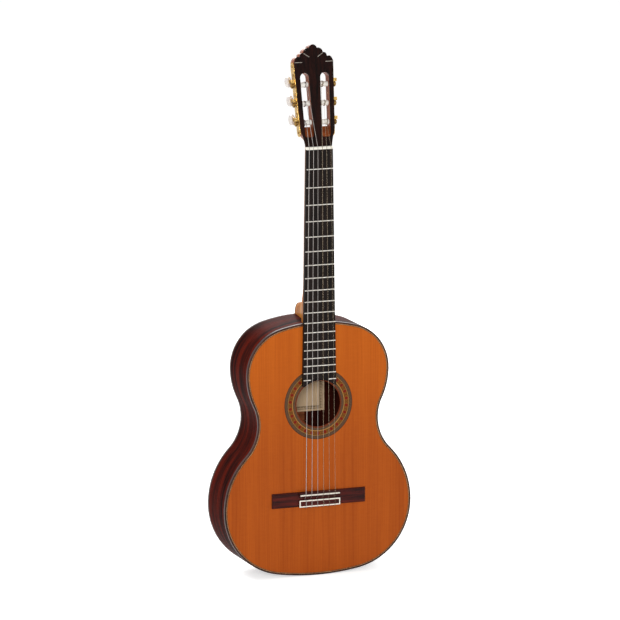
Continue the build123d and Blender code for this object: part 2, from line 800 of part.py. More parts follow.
# ---- one tuner: roller, worm wheel with its screw, worm on its shaft, and button ---------------
def make_roller(station):
    """Roller with its pin through the head's wall, square tenon and inner tip."""
    frame = station_frame(station)
    wall = wall_beside(station)
    sleeve_start = -wall - head_slot_width + roller_end_gap
    gear_face = worm_offset + gear_width / 2
    with BuildPart() as roller:
        tip_length = roller_tip_length + roller_end_gap / 2
        cylinder_between(across(frame, sleeve_start - tip_length), roller_tip_radius, tip_length)
        cylinder_between(across(frame, sleeve_start), roller_radius, -wall - roller_end_gap - sleeve_start)
        pin_start = -wall - roller_end_gap
        cylinder_between(across(frame, pin_start), roller_pin_radius, plate_thickness - pin_start)
        with BuildSketch(across(frame, plate_thickness)):
            Rectangle(roller_tenon, roller_tenon)
        extrude(amount=gear_face - plate_thickness)
        shank_start = gear_face - gear_screw_shank_length
        cylinder_between(
            across(frame, shank_start), gear_screw_shank_radius, gear_screw_shank_length, Mode.SUBTRACT
        )
    return roller.part


def make_gear(station):
    """Worm wheel on the roller's tenon, and the slotted screw that holds it."""
    frame = station_frame(station)
    gear_back = worm_offset - gear_width / 2
    gear_face = worm_offset + gear_width / 2
    hub_start = plate_thickness + worm_to_plate_gap
    root = gear_pitch_radius - gear_dedendum
    tip = gear_pitch_radius + gear_addendum
    half_pitch = 180 / gear_teeth
    with BuildPart() as gear:
        with BuildSketch(across(frame, gear_back)):
            Circle(root)
            for number in range(gear_teeth):
                with BuildLine(Plane.XY.rotated((0, 0, half_pitch * (2 * number + 1)))):
                    Polyline(
                        (root - thread_sink, -tooth_root_half),
                        (tip, -tooth_tip_half),
                        (tip, tooth_tip_half),
                        (root - thread_sink, tooth_root_half),
                        close=True,
                    )
                make_face()
        extrude(amount=gear_width)
        cylinder_between(across(frame, hub_start), gear_hub_radius, gear_back - hub_start)
        with BuildSketch(across(frame, hub_start)):
            Rectangle(roller_tenon, roller_tenon)
        extrude(amount=gear_face - hub_start, mode=Mode.SUBTRACT)
    with BuildPart() as screw:
        shank_start = gear_face - gear_screw_shank_length
        cylinder_between(across(frame, shank_start), gear_screw_shank_radius, gear_screw_shank_length)
        cylinder_between(across(frame, gear_face), gear_screw_radius, gear_screw_height)
        with BuildSketch(across(frame, gear_face + gear_screw_height / 2)):
            Rectangle(2 * gear_screw_radius, gear_screw_slot)
        extrude(amount=gear_screw_height, mode=Mode.SUBTRACT)
    return Compound([*gear.part.solids(), *screw.part.solids()])


def make_worm(station):
    """Worm with a helical thread in mesh with the wheel, on the shaft that carries the button."""
    frame = station_frame(station)
    axis = along_worm(frame, 0)
    with BuildLine() as probe:
        Helix(worm_lead, worm_lead, worm_root_radius, center=axis.origin, direction=axis.z_dir)
    start = axis.to_local_coords(probe.line @ 0)
    turn_to_wheel = (-pi / 2 - atan2(start.Y, start.X)) / (2 * pi)
    whole_turns = round(worm_turns / 2 - turn_to_wheel)
    thread_start = -worm_lead * (whole_turns + turn_to_wheel)
    core_half = lug_spacing / 2 - lug_thickness / 2 - worm_end_gap
    front_end = lug_spacing / 2 + lug_thickness / 2 + shaft_front_reach
    back_end = -lug_spacing / 2 - lug_thickness / 2 - shaft_to_button - button_bore_depth
    with BuildPart() as worm:
        with BuildLine() as thread:
            origin = along_worm(frame, thread_start).origin
            Helix(worm_lead, worm_turns * worm_lead, worm_root_radius, center=origin, direction=axis.z_dir)
        foot = thread.line @ 0
        radial = (foot - origin).normalized()
        depth = worm_outer_radius - worm_root_radius
        with BuildSketch(Plane(origin=foot, x_dir=radial, z_dir=axis.z_dir.cross(radial))):
            with BuildLine():
                Polyline(
                    (-thread_sink, -thread_root_half),
                    (depth, -thread_tip_half),
                    (depth, thread_tip_half),
                    (-thread_sink, thread_root_half),
                    close=True,
                )
            make_face()
        sweep(path=thread.line, is_frenet=True)
        cylinder_between(along_worm(frame, -core_half), worm_root_radius, 2 * core_half)
        cylinder_between(along_worm(frame, back_end), shaft_radius, front_end - back_end)
    return worm.part


def make_button(station):
    """Oval button on the end of the worm's shaft."""
    frame = station_frame(station)
    face = -lug_spacing / 2 - lug_thickness / 2 - shaft_to_button
    with BuildPart() as button:
        with BuildSketch(along_worm(frame, face - button_length)):
            Ellipse(button_thickness / 2, button_height / 2)
        extrude(amount=button_length)
        fillet(button.edges(), radius=button_edge_radius)
        cylinder_between(
            along_worm(frame, face - button_bore_depth), shaft_radius, button_length, Mode.SUBTRACT
        )
    return button.part


# ---- fingerboard and frets ---------------------------------------------------------------------
fret_numbers = range(1, fret_count + 1)

with BuildPart() as fingerboard:
    with BuildSketch(facing(soundboard_top)):
        half_nut = nut_width / 2
        half_end = board_width(fingerboard_end) / 2
        Polygon(
            (-half_nut, 0),
            (half_nut, 0),
            (half_end, fingerboard_end),
            (-half_end, fingerboard_end),
            align=None,
        )
        with Locations((0, soundhole_z)):
            Circle(fingerboard_end_radius, mode=Mode.SUBTRACT)
    extrude(amount=fingerboard_thickness)
    with BuildSketch(facing(fingerboard_top + fret_tang_depth)):
        for number in fret_numbers:
            with Locations((0, fret_place(number))):
                Rectangle(board_width(fret_place(number)) + 2 * cut_margin, fret_tang_width)
    extrude(amount=fret_tang_depth, mode=Mode.SUBTRACT)

with BuildPart() as frets:
    for number in fret_numbers:
        height = fret_place(number)
        with BuildSketch(Plane.YZ):
            with BuildLine():
                low = (fingerboard_top, height - fret_width / 2)
                high = (fingerboard_top, height + fret_width / 2)
                ThreePointArc(low, (fingerboard_top - fret_height, height), high)
                Line(low, high)
            make_face()
            with Locations((fingerboard_top + fret_tang_depth / 2, height)):
                Rectangle(fret_tang_depth, fret_tang_width)
        extrude(amount=board_width(height) / 2 - fret_end_inset, both=True)
    with BuildSketch(facing(fingerboard_top + fret_tang_depth)):
        with Locations((0, last_fret_z)):
            Rectangle(split_fret_gap, 2 * fret_width)
    extrude(amount=fret_tang_depth + fret_height, mode=Mode.SUBTRACT)

# ---- strings: from the roller over the nut and saddle, and tied round the bridge's block -------
tie_front = bridge_back + tie_block_depth


def string_places(number):
    """Corners of one string's route, from its roller to the end of its loop at the bridge."""
    radius = string_diameters[number] / 2
    offset = number - middle_string
    side = 1 if offset > 0 else -1
    rank = round(middle_string - abs(offset))
    nut_x = offset * string_spacing_nut
    saddle_x = offset * string_spacing_saddle
    top_level = -roller_depth + roller_radius + radius + string_seat
    roller_place = head_face.from_local_coords(
        (side * string_roller_x[rank], roller_stations[rank], top_level)
    )
    nut_y = fingerboard_top - string_rise_at_nut - radius
    saddle_y = soundboard_top - string_height_saddle - radius - string_over_saddle
    hole_y = soundboard_top - tie_hole_height
    over_y = soundboard_top - tie_block_height - radius - string_loop_gap
    back_z = bridge_back - string_loop_radius - string_loop_gap
    front_z = tie_front + radius + string_loop_gap
    loop_x = saddle_x + 2 * radius + string_loop_gap
    end_y = soundboard_top - string_end_height
    return (
        roller_place,
        Vector(nut_x, nut_y, nut_thickness / 2),
        Vector(saddle_x, saddle_y, saddle_z),
        Vector(saddle_x, hole_y, tie_front + string_loop_radius + string_loop_gap),
        Vector(saddle_x, hole_y, back_z),
        Vector(loop_x, over_y, back_z),
        Vector(loop_x, over_y, front_z),
        Vector(loop_x, end_y, front_z),
    )


def make_string(number):
    """String as a round tube along its route, with an arc at each corner."""
    bends = [string_bend_radius] * 3 + [string_loop_radius] * 3
    places = string_places(number)
    with BuildPart() as string:
        with BuildLine() as route:
            FilletPolyline(*places, radius=bends)
        with BuildSketch(Plane(origin=route.line @ 0, z_dir=route.line % 0)):
            Circle(string_diameters[number] / 2)
        sweep(path=route.line)
    return string.part


# ---- nut and saddle ----------------------------------------------------------------------------
with BuildPart() as nut:
    nut_top = fingerboard_top - nut_height
    with BuildSketch(Plane.YZ):
        nut_seat = soundboard_top - glue_line
        with Locations(((nut_top + nut_seat) / 2, nut_thickness / 2)):
            Rectangle(nut_seat - nut_top, nut_thickness)
    extrude(amount=nut_width / 2, both=True)
    fillet(nut.edges().filter_by(Axis.X).group_by(Axis.Y)[0], radius=nut_edge_radius)
    for number, diameter in enumerate(string_diameters):
        roller_end, bend = string_places(number)[:2]
        slope = (roller_end.Y - bend.Y) / (roller_end.Z - bend.Z)
        floor = fingerboard_top - string_rise_at_nut + string_seat
        beyond = nut_thickness + cut_margin
        above = nut_top - cut_margin
        with BuildSketch(Plane.YZ.offset(bend.X)):
            Polygon(
                (floor, -cut_margin),
                (floor, nut_thickness / 2),
                (floor + slope * (beyond - nut_thickness / 2), beyond),
                (above, beyond),
                (above, -cut_margin),
                align=None,
            )
        extrude(amount=(diameter + nut_slot_clearance) / 2, both=True, mode=Mode.SUBTRACT)

with BuildPart() as saddle:
    saddle_bottom = soundboard_top - saddle_ridge_height + saddle_slot_depth
    saddle_top = soundboard_top - string_height_saddle
    with BuildSketch(Plane.YZ):
        with BuildLine():
            half = saddle_thickness / 2
            shoulder = saddle_top + half
            Line((saddle_bottom, saddle_z - half), (shoulder, saddle_z - half))
            ThreePointArc((shoulder, saddle_z - half), (saddle_top, saddle_z), (shoulder, saddle_z + half))
            Line((shoulder, saddle_z + half), (saddle_bottom, saddle_z + half))
            Line((saddle_bottom, saddle_z + half), (saddle_bottom, saddle_z - half))
        make_face()
    extrude(amount=saddle_length / 2, both=True)

# ---- bridge with its saddle slot, tie holes and bone frame -------------------------------------
trim_inner = (centre_block_width - 2 * trim_width, tie_block_depth - 2 * trim_width)
tie_middle = bridge_back + tie_block_depth / 2

with BuildPart() as bridge:
    with BuildSketch(facing(soundboard_top)):
        with Locations((0, (bridge_front + bridge_back) / 2)):
            Rectangle(bridge_width, bridge_depth)
    extrude(amount=wing_height)
    chamfer(bridge.edges().group_by(Axis.Y)[0], length=wing_bevel)
    with BuildSketch(facing(soundboard_top)):
        with Locations((0, (bridge_front + bridge_back) / 2)):
            Rectangle(centre_block_width, bridge_depth)
    extrude(amount=tie_valley_height)
    with BuildSketch(facing(soundboard_top)):
        with Locations((0, bridge_front - saddle_ridge_depth / 2)):
            Rectangle(centre_block_width, saddle_ridge_depth)
    extrude(amount=saddle_ridge_height)
    with BuildSketch(facing(soundboard_top)):
        with Locations((0, tie_middle)):
            Rectangle(centre_block_width, tie_block_depth)
    extrude(amount=tie_block_height)
    with BuildSketch(facing(saddle_bottom)):
        with Locations((0, saddle_z)):
            Rectangle(saddle_length, saddle_thickness)
    extrude(amount=saddle_slot_depth, mode=Mode.SUBTRACT)
    with BuildSketch(facing(soundboard_top - tie_block_height + trim_thickness)):
        with Locations((0, tie_middle)):
            Rectangle(centre_block_width, tie_block_depth)
            Rectangle(*trim_inner, mode=Mode.SUBTRACT)
    extrude(amount=trim_thickness, mode=Mode.SUBTRACT)
    with BuildSketch(Plane.XY.offset(bridge_back)):
        for number in range(len(string_diameters)):
            hole_x = (number - middle_string) * string_spacing_saddle
            with Locations((hole_x, soundboard_top - tie_hole_height)):
                Circle(tie_hole_radius)
    extrude(amount=tie_block_depth, mode=Mode.SUBTRACT)

with BuildPart() as tie_block_trim:
    with BuildSketch(facing(soundboard_top - tie_block_height + trim_thickness)):
        with Locations((0, tie_middle)):
            Rectangle(centre_block_width, tie_block_depth)
            Rectangle(*trim_inner, mode=Mode.SUBTRACT)
    extrude(amount=trim_thickness)

# ---- write every piece -------------------------------------------------------------------------
pieces = {
    "soundboard": soundboard.part,
    "purfling_top": purfling_top.part,
    "rosette": rosette.part,
    "binding_top": binding_top.part,
    "binding_back": binding_back.part,
    "back": back.part,
    "back_centre_strip": back_centre_strip.part,
    "treble_side": treble_side.part,
    "bass_side": bass_side.part,
    "end_strip": end_strip.part,
    "end_block": end_block.part,
    "linings": linings.part,
    "soundboard_braces": soundboard_braces.part,
    "back_braces": back_braces.part,
    "back_inner_strip": back_inner_strip.part,
    "label": label.part,
    "neck": neck.part,
    "heel_cap": heel_cap.part,
    "head": head.part,
    "head_veneer": head_veneer.part,
    "head_inlays": head_inlays.part,
    "fingerboard": fingerboard.part,
    "frets": frets.part,
    "nut": nut.part,
    "saddle": saddle.part,
    "bridge": bridge.part,
    "tie_block_trim": tie_block_trim.part,
    "tuner_plate_bass": tuner_plate_bass.part,
    "tuner_plate_treble": tuner_plate_treble.part,
    "plate_screws": plate_screws.part,
}
makers = {"roller": make_roller, "gear": make_gear, "worm": make_worm, "button": make_button}
for number, string_name in enumerate(string_names):
    rank = round(middle_string - abs(number - middle_string))
    pieces[f"string_{string_name}"] = make_string(number)
    for piece_name, make in makers.items():
        piece = make(roller_stations[rank])
        pieces[f"{piece_name}_{string_name}"] = piece if number > middle_string else piece.mirror(Plane.YZ)

for piece_name, piece in pieces.items():
    piece.label = piece_name
    export_step(piece, f"parts/{piece_name}.step")
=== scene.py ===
"""Looks of the classical guitar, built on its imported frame, in metres.

+X is the treble side, +Y runs from the soundboard to the back and +Z up the neck.
"""

import logging
import math
from dataclasses import dataclass
from enum import Enum
from typing import Any, Callable, Sequence

import bmesh
import bpy
from mathutils import Matrix, Vector


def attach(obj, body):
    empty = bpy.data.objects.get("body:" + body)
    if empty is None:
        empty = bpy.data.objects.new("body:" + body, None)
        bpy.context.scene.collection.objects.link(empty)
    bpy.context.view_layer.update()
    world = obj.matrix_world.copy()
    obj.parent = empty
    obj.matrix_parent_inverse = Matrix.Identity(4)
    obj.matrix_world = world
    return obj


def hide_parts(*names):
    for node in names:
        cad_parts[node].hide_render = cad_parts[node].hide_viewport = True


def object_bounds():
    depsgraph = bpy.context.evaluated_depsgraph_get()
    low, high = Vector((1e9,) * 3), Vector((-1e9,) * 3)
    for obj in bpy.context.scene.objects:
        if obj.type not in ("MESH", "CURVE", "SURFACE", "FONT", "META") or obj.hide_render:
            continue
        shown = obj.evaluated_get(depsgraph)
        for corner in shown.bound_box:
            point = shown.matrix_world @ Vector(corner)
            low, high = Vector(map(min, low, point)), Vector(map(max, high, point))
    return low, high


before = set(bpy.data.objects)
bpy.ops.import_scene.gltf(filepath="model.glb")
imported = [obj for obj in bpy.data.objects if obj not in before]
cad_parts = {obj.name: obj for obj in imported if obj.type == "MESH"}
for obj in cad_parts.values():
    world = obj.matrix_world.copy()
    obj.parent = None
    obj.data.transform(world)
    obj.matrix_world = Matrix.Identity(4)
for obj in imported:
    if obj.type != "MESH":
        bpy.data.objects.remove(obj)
CAD_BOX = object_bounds()

log = logging.getLogger("guitar")
Colour = tuple[float, float, float, float]
MM = 0.001
GUITAR_BODY = "guitar"
BASS_STRINGS = ("e6", "a5", "d4")
STRING_NAMES = (*BASS_STRINGS, "g3", "b2", "e1")
SOUNDBOARD_TOP = -15.0 * MM
FINGERBOARD_TOP = -22.0 * MM
BODY_TOP = -325.0 * MM
SOUNDHOLE_Z = -480.3 * MM


def dye(red: float, green: float, blue: float) -> Colour:
    """Turn a display colour into the linear colour that a socket takes.

    Args:
        red: Red from 0 to 255.
        green: Green from 0 to 255.
        blue: Blue from 0 to 255.

    Returns:
        The linear colour, opaque.
    """
    parts = [value / 255 for value in (red, green, blue)]
    linear = [p / 12.92 if p <= 0.04045 else ((p + 0.055) / 1.055) ** 2.4 for p in parts]
    return (linear[0], linear[1], linear[2], 1.0)


def smooth(share: float) -> float:
    """Slow a share of 0 to 1 down at both its ends."""
    return share * share * (3 - 2 * share)


# ---- shader tools ------------------------------------------------------------------------------


class Signal:
    """A shader socket that adds Math nodes when it is used in an expression."""

    def __init__(self, tree: "ShaderTree", socket: bpy.types.NodeSocket) -> None:
        """Wrap a socket.

        Args:
            tree: The tree that the socket belongs to.
            socket: The output socket.
        """
        self.tree = tree
        self.socket = socket

    def _math(self, operation: str, *terms: Any) -> "Signal":
        """Add one Math node.

        Args:
            operation: The Math node's operation.
            *terms: Its inputs in order, signals or numbers.

        Returns:
            The node's value.
        """
        return self.tree.node("ShaderNodeMath", {"operation": operation}, dict(enumerate(terms)))

    def __add__(self, other: Any) -> "Signal":
        """Sum of two values."""
        return self._math("ADD", self, other)

    __radd__ = __add__

    def __sub__(self, other: Any) -> "Signal":
        """Difference of two values."""
        return self._math("SUBTRACT", self, other)

    def __rsub__(self, other: Any) -> "Signal":
        """Difference with this value taken away."""
        return self._math("SUBTRACT", other, self)

    def __mul__(self, other: Any) -> "Signal":
        """Product of two values."""
        return self._math("MULTIPLY", self, other)

    __rmul__ = __mul__

    def __truediv__(self, other: Any) -> "Signal":
        """Quotient of two values."""
        return self._math("DIVIDE", self, other)

    def __gt__(self, other: Any) -> "Signal":
        """1 where this value is greater, 0 elsewhere."""
        return self._math("GREATER_THAN", self, other)

    def __lt__(self, other: Any) -> "Signal":
        """1 where this value is less, 0 elsewhere."""
        return self._math("LESS_THAN", self, other)

    def fract(self) -> "Signal":
        """Part after the point."""
        return self._math("FRACT", self)

    def sine(self) -> "Signal":
        """Sine of an angle in radians."""
        return self._math("SINE", self)

    def size(self) -> "Signal":
        """Value without its sign."""
        return self._math("ABSOLUTE", self)

    def least(self, other: Any) -> "Signal":
        """The smaller of two values."""
        return self._math("MINIMUM", self, other)

    def angle_from(self, other: "Signal") -> "Signal":
        """Angle whose tangent is this value over the other."""
        return self._math("ARCTAN2", self, other)

    def eased(self, low: float, high: float) -> "Signal":
        """Rise smoothly from 0 to 1.

        Args:
            low: The value at which the rise starts.
            high: The value at which it ends.

        Returns:
            The eased value.
        """
        return self.tree.node(
            "ShaderNodeMapRange",
            {"interpolation_type": "SMOOTHSTEP"},
            {"Value": self, "From Min": low, "From Max": high},
        )


class ShaderTree:
    """A material's nodes, with the few calls that the finishes are written in."""

    def __init__(self, nodes: bpy.types.NodeTree) -> None:
        """Start on a material's tree.

        Args:
            nodes: The node tree, with its default nodes.
        """
        self.nodes = nodes
        self.shader = nodes.nodes["Principled BSDF"]

    def node(
        self,
        kind: str,
        settings: dict[str, Any] | None = None,
        sockets: dict[Any, Any] | None = None,
        output: int | str = 0,
    ) -> Signal:
        """Add a node.

        Args:
            kind: The node's type.
            settings: Its properties, set first; stops are a ramp's places and colours.
            sockets: Values or signals by input name or number.
            output: The output that is wanted.

        Returns:
            That output.
        """
        made = self.nodes.nodes.new(kind)
        for key, value in (settings or {}).items():
            if key == "stops":
                self._set_stops(made.color_ramp, value)
            else:
                setattr(made, key, value)
        for key, value in (sockets or {}).items():
            if isinstance(value, Signal):
                self.nodes.links.new(value.socket, made.inputs[key])
            else:
                made.inputs[key].default_value = value
        return Signal(self, made.outputs[output])

    @staticmethod
    def _set_stops(ramp: bpy.types.ColorRamp, stops: Sequence[tuple[float, Colour]]) -> None:
        """Give a colour ramp its stops.

        Args:
            ramp: A new ramp, which has two stops.
            stops: Two or more places from 0 to 1 in order, with their colours.
        """
        while len(ramp.elements) < len(stops):
            ramp.elements.new(1.0)
        for element, (place, colour) in zip(ramp.elements, stops):
            element.position = place
            element.color = colour

    def place(self, scale: float | Sequence[float] = 1.0) -> Signal:
        """Object coordinates, scaled.

        Args:
            scale: One factor, or one for each axis.

        Returns:
            The scaled place.
        """
        factors = (scale,) * 3 if isinstance(scale, float) else scale
        spot = self.node("ShaderNodeTexCoord", output="Object")
        return self.node("ShaderNodeMapping", sockets={"Vector": spot, "Scale": factors})

    def split(self, vector: Signal) -> tuple[Signal, Signal, Signal]:
        """Take a vector apart.

        Args:
            vector: The vector.

        Returns:
            Its three parts.
        """
        made = self.node("ShaderNodeSeparateXYZ", sockets={0: vector})
        outputs = made.socket.node.outputs
        return made, Signal(self, outputs[1]), Signal(self, outputs[2])

    def join(self, x: Any, y: Any, z: Any) -> Signal:
        """A vector from three parts."""
        return self.node("ShaderNodeCombineXYZ", sockets={0: x, 1: y, 2: z})

    def length(self, vector: Signal) -> Signal:
        """Length of a vector."""
        return self.node("ShaderNodeVectorMath", {"operation": "LENGTH"}, {0: vector}, 1)

    def noise(self, vector: Signal, scale: float = 1.0, detail: float = 3.0, twist: float = 0.0) -> Signal:
        """Soft noise from 0 to 1 over a vector."""
        wanted = {"Vector": vector, "Scale": scale, "Detail": detail, "Distortion": twist}
        return self.node("ShaderNodeTexNoise", sockets=wanted)

    def clouds(self, scale: float | Sequence[float], detail: float = 3.0, twist: float = 0.0) -> Signal:
        """Soft noise from 0 to 1 over scaled Object coordinates."""
        return self.noise(self.place(scale), 1.0, detail, twist)

    def mix(self, share: Any, first: Any, second: Any) -> Signal:
        """Colour between two colours."""
        return self.node("ShaderNodeMix", {"data_type": "RGBA"}, {0: share, 6: first, 7: second}, 2)

    def ramp(self, share: Signal, stops: Sequence[tuple[float, Colour]]) -> Signal:
        """Colour from a ramp."""
        return self.node("ShaderNodeValToRGB", {"stops": stops}, {0: share})

    def bump(self, height: Signal, depth: float, strength: float) -> Signal:
        """Normal from a height of 0 to 1 over a depth in metres."""
        wanted = {"Strength": strength, "Distance": depth, "Height": height}
        return self.node("ShaderNodeBump", sockets=wanted)

    def surface(self, **sockets: Any) -> None:
        """Set or link the shader's sockets.

        Args:
            **sockets: Values or signals by the sockets' names, with spaces written as underscores.
        """
        for key, value in sockets.items():
            target = self.shader.inputs[key.replace("_", " ")]
            if isinstance(value, Signal):
                self.nodes.links.new(value.socket, target)
            else:
                target.default_value = value


# ---- finishes ----------------------------------------------------------------------------------


class Grain(Enum):
    """The way a board's grain runs: how finely it varies along X, Y and Z."""

    UP_NECK = (1.0, 1.0, 0.035)
    ACROSS_BRIDGE = (0.05, 1.0, 1.0)
    ROUND_RIB = (0.12, 1.0, 0.05)


@dataclass(frozen=True)
class Finish:
    """A finish that can be laid on any piece.

    Attributes:
        name: The name of its material.
    """

    name: str

    def lay(self, tree: ShaderTree) -> None:
        """Build the finish's nodes."""
        raise NotImplementedError

    def material(self) -> bpy.types.Material:
        """Look up the finish's material, and make it the first time that it is asked for.

        Returns:
            The material.
        """
        made = bpy.data.materials.get(self.name)
        if made is None:
            made = bpy.data.materials.new(self.name)
            made.use_nodes = True
            self.lay(ShaderTree(made.node_tree))
        return made


@dataclass(frozen=True)
class CedarTop(Finish):
    """Quartersawn cedar under a gloss varnish, its two halves mirrored at the middle.

    Attributes:
        rim: Radius in metres inside which the soundhole's rim is stained.
        low: Height in metres under which the wood has its darker tone, a painted shade of the light from
            above.
        high: Height in metres over which it has its lighter tone, painted light from above.
    """

    rim: float = 45.9 * MM
    low: float = -620.0 * MM
    high: float = -360.0 * MM

    def lay(self, tree: ShaderTree) -> None:
        """Build fine upright grain, slow colour drift, cross silk and painted light that leaves the board
        darker towards the bottom.

        Args:
            tree: The new material's nodes.
        """
        x, y, z = tree.split(tree.place())
        wander = (tree.noise(tree.place((3.0, 1.0, 2.0)), 4.0, 2.0) - 0.5) * 0.006
        across = x.size() + wander
        fine = tree.noise(tree.join(across * 1500.0, y * 200.0, z * 14.0))
        lines = tree.noise(tree.join(across * 420.0, 0.0, z * 2.0), detail=2.0)
        broad = tree.noise(tree.join(across * 34.0, 1.0, z * 1.2))
        silk = tree.noise(tree.join(x * 60.0, y, z * 240.0), detail=2.0)
        # Painted light: the cedar is shaded darker towards the bottom and lighter towards the top, as light
        # from above falls on the board.
        height = z.eased(self.low, self.high)
        warm = tree.mix(height, dye(176, 84, 22), dye(194, 98, 24))
        deep = tree.mix(height, dye(150, 66, 14), dye(168, 76, 14))
        share = fine * 0.3 + lines * 0.38 + broad * 0.42 + silk * 0.1
        wood = tree.mix(share.eased(0.4, 0.82), warm, deep)
        radius = tree.length(tree.join(x, 0.0, z - SOUNDHOLE_Z))
        tree.surface(
            Base_Color=tree.mix(radius < self.rim, wood, dye(104, 42, 16)),
            Roughness=0.3 + fine * 0.14,
            Specular_IOR_Level=0.09,
            Normal=tree.bump(fine * 0.6 + lines * 0.4, 0.03 * MM, 0.4),
        )


@dataclass(frozen=True)
class Wood(Finish):
    """Streaked hardwood with open pores under a varnish.

    Attributes:
        dark: Colour of the late streaks.
        light: Colour of the early wood.
        pore: Colour of the pores.
        grain: The way the grain runs.
        streaks: Streaks per metre across the grain.
        gloss: Roughness of the varnish.
        shine: Level of the mirror reflection.
    """

    dark: Colour
    light: Colour
    pore: Colour
    grain: Grain
    streaks: float
    gloss: float = 0.28
    shine: float = 0.1

    def lay(self, tree: ShaderTree) -> None:
        """Build broad streaks, fine lines and short dark pores.

        Args:
            tree: The new material's nodes.
        """
        along = self.grain.value
        bend = tree.noise(tree.place([3.0 * a for a in along]), 3.0, 2.0)
        x, y, z = tree.split(tree.place([self.streaks * a for a in along]))
        bent = tree.join(x + bend * 2.6, y + bend * 2.6, z + bend * 0.6)
        broad = tree.noise(bent, 0.55, 3.0, 0.35)
        fine = tree.noise(bent, 3.6, 4.0, 0.2)
        holes = tree.clouds([2600.0 * a for a in along], 1.0).eased(0.6, 0.7)
        wood = tree.mix((broad * 0.7 + fine * 0.3).eased(0.34, 0.66), self.dark, self.light)
        tree.surface(
            Base_Color=tree.mix(holes * 0.7, wood, self.pore),
            Roughness=self.gloss + fine * 0.12 + holes * 0.1,
            Specular_IOR_Level=self.shine,
            Normal=tree.bump(1.0 - holes, 0.04 * MM, 0.35),
        )


@dataclass(frozen=True)
class StripedInlay(Finish):
    """Thin dyed veneers side by side, in stripes across X.

    Attributes:
        stripe: Width of the whole pattern in metres.
        dark_from: Where a dark line starts, from 0 at the middle to 1 at the side.
        dark_to: Where it ends.
    """

    stripe: float = 6.0 * MM
    dark_from: float = 0.45
    dark_to: float = 0.75

    def lay(self, tree: ShaderTree) -> None:
        """Build a pale strip between two dark lines.

        Args:
            tree: The new material's nodes.
        """
        x, _, _ = tree.split(tree.place())
        place = x.size() * (2.0 / self.stripe)
        fibre = tree.clouds((1500.0, 1500.0, 40.0))
        pale = tree.mix(fibre, dye(196, 156, 96), dye(224, 190, 132))
        dark = tree.mix(fibre, dye(24, 16, 12), dye(52, 34, 24))
        edge = (place > self.dark_from) * (place < self.dark_to)
        tree.surface(
            Base_Color=tree.mix(edge, pale, dark),
            Roughness=0.3 + fibre * 0.1,
            Specular_IOR_Level=0.1,
        )


@dataclass(frozen=True)
class RosetteMosaic(Finish):
    """Rings of inlaid wood round the soundhole, with radii in millimetres.

    Attributes:
        repeats: Diamonds round the mosaic.
        middle: Radius of the diamonds' middles.
        tip: How far a diamond's tip is from its middle.
        narrowing: How many times half a diamond's width goes into its cell.
        inner_bone: Middle radius and number of stripes of the inner herringbone.
        outer_bone: The same of the outer herringbone.
        edge: Radius outside which the outermost line runs.
    """

    repeats: float = 26.0
    middle: float = 56.0
    tip: float = 4.4
    narrowing: float = 4.4
    inner_bone: tuple[float, float] = (48.0, 150.0)
    outer_bone: tuple[float, float] = (63.8, 190.0)
    edge: float = 66.6

    def lay(self, tree: ShaderTree) -> None:
        """Build the rings from the distance and angle round the soundhole.

        Args:
            tree: The new material's nodes.
        """
        x, _, z = tree.split(tree.place())
        rise = z - SOUNDHOLE_Z
        radius = tree.length(tree.join(x, 0.0, rise)) / MM
        turns = rise.angle_from(x) / (2 * math.pi)
        fibre = tree.clouds(900.0)
        gold = tree.mix(fibre, dye(106, 56, 12), dye(140, 82, 24))
        grey = tree.mix(fibre, dye(86, 64, 46), dye(116, 88, 62))
        brown = tree.mix(fibre, dye(48, 28, 19), dye(74, 46, 28))
        line = tree.mix(fibre, dye(28, 18, 14), dye(44, 30, 22))
        pale = tree.mix(fibre, dye(158, 106, 48), dye(184, 134, 68))
        red = tree.mix(fibre, dye(96, 16, 6), dye(128, 28, 9))
        olive = tree.mix(fibre, dye(62, 38, 8), dye(88, 58, 16))

        def herringbone(middle: float, count: float) -> Signal:
            """Slanted brown and grey stripes that turn back at the middle radius."""
            stripes = (turns * count + (radius - middle).size() * 0.35).fract()
            return tree.mix(stripes.eased(0.3, 0.7), brown, grey)

        cell = ((turns * self.repeats).fract() - 0.5).size()
        reach = (radius - self.middle).size() / self.tip
        weave = (turns * (self.repeats * 4) + radius * 0.5).fract() > 0.5
        halo = (cell * 3.0 + reach) < 1.25
        diamond = (cell * self.narrowing + reach) < 1.0
        mosaic = tree.mix(diamond, tree.mix(halo, tree.mix(weave, gold, olive), gold), red)
        colour = tree.mix(fibre, dye(160, 70, 18), dye(184, 90, 28))
        for low, high, inlay in (
            (45.8, 50.3, herringbone(*self.inner_bone)),
            (50.3, 50.8, line),
            (50.8, 52.2, pale),
            (52.2, 52.6, line),
            (52.6, 59.4, mosaic),
            (59.4, 59.8, line),
            (59.8, 60.6, pale),
            (60.6, 61.0, line),
            (61.0, self.edge, herringbone(*self.outer_bone)),
        ):
            colour = tree.mix((radius > low) * (radius < high), colour, inlay)
        tree.surface(
            Base_Color=tree.mix(radius > self.edge, colour, line),
            Roughness=0.28 + fibre * 0.12,
            Specular_IOR_Level=0.1,
            Normal=tree.bump(fibre, 0.03 * MM, 0.3),
        )


@dataclass(frozen=True)
class Bone(Finish):
    """Polished bone with faint darker channels."""

    def lay(self, tree: ShaderTree) -> None:
        """Build a cream with short channels.

        Args:
            tree: The new material's nodes.
        """
        channels = tree.clouds((160.0, 900.0, 900.0))
        stain = tree.clouds(60.0, 2.0)
        tree.surface(
            Base_Color=tree.mix(channels * 0.5 + stain * 0.5, dye(228, 222, 206), dye(246, 243, 234)),
            Roughness=0.25 + channels * 0.2,
            Specular_IOR_Level=0.3,
            Normal=tree.bump(channels, 0.02 * MM, 0.3),
        )


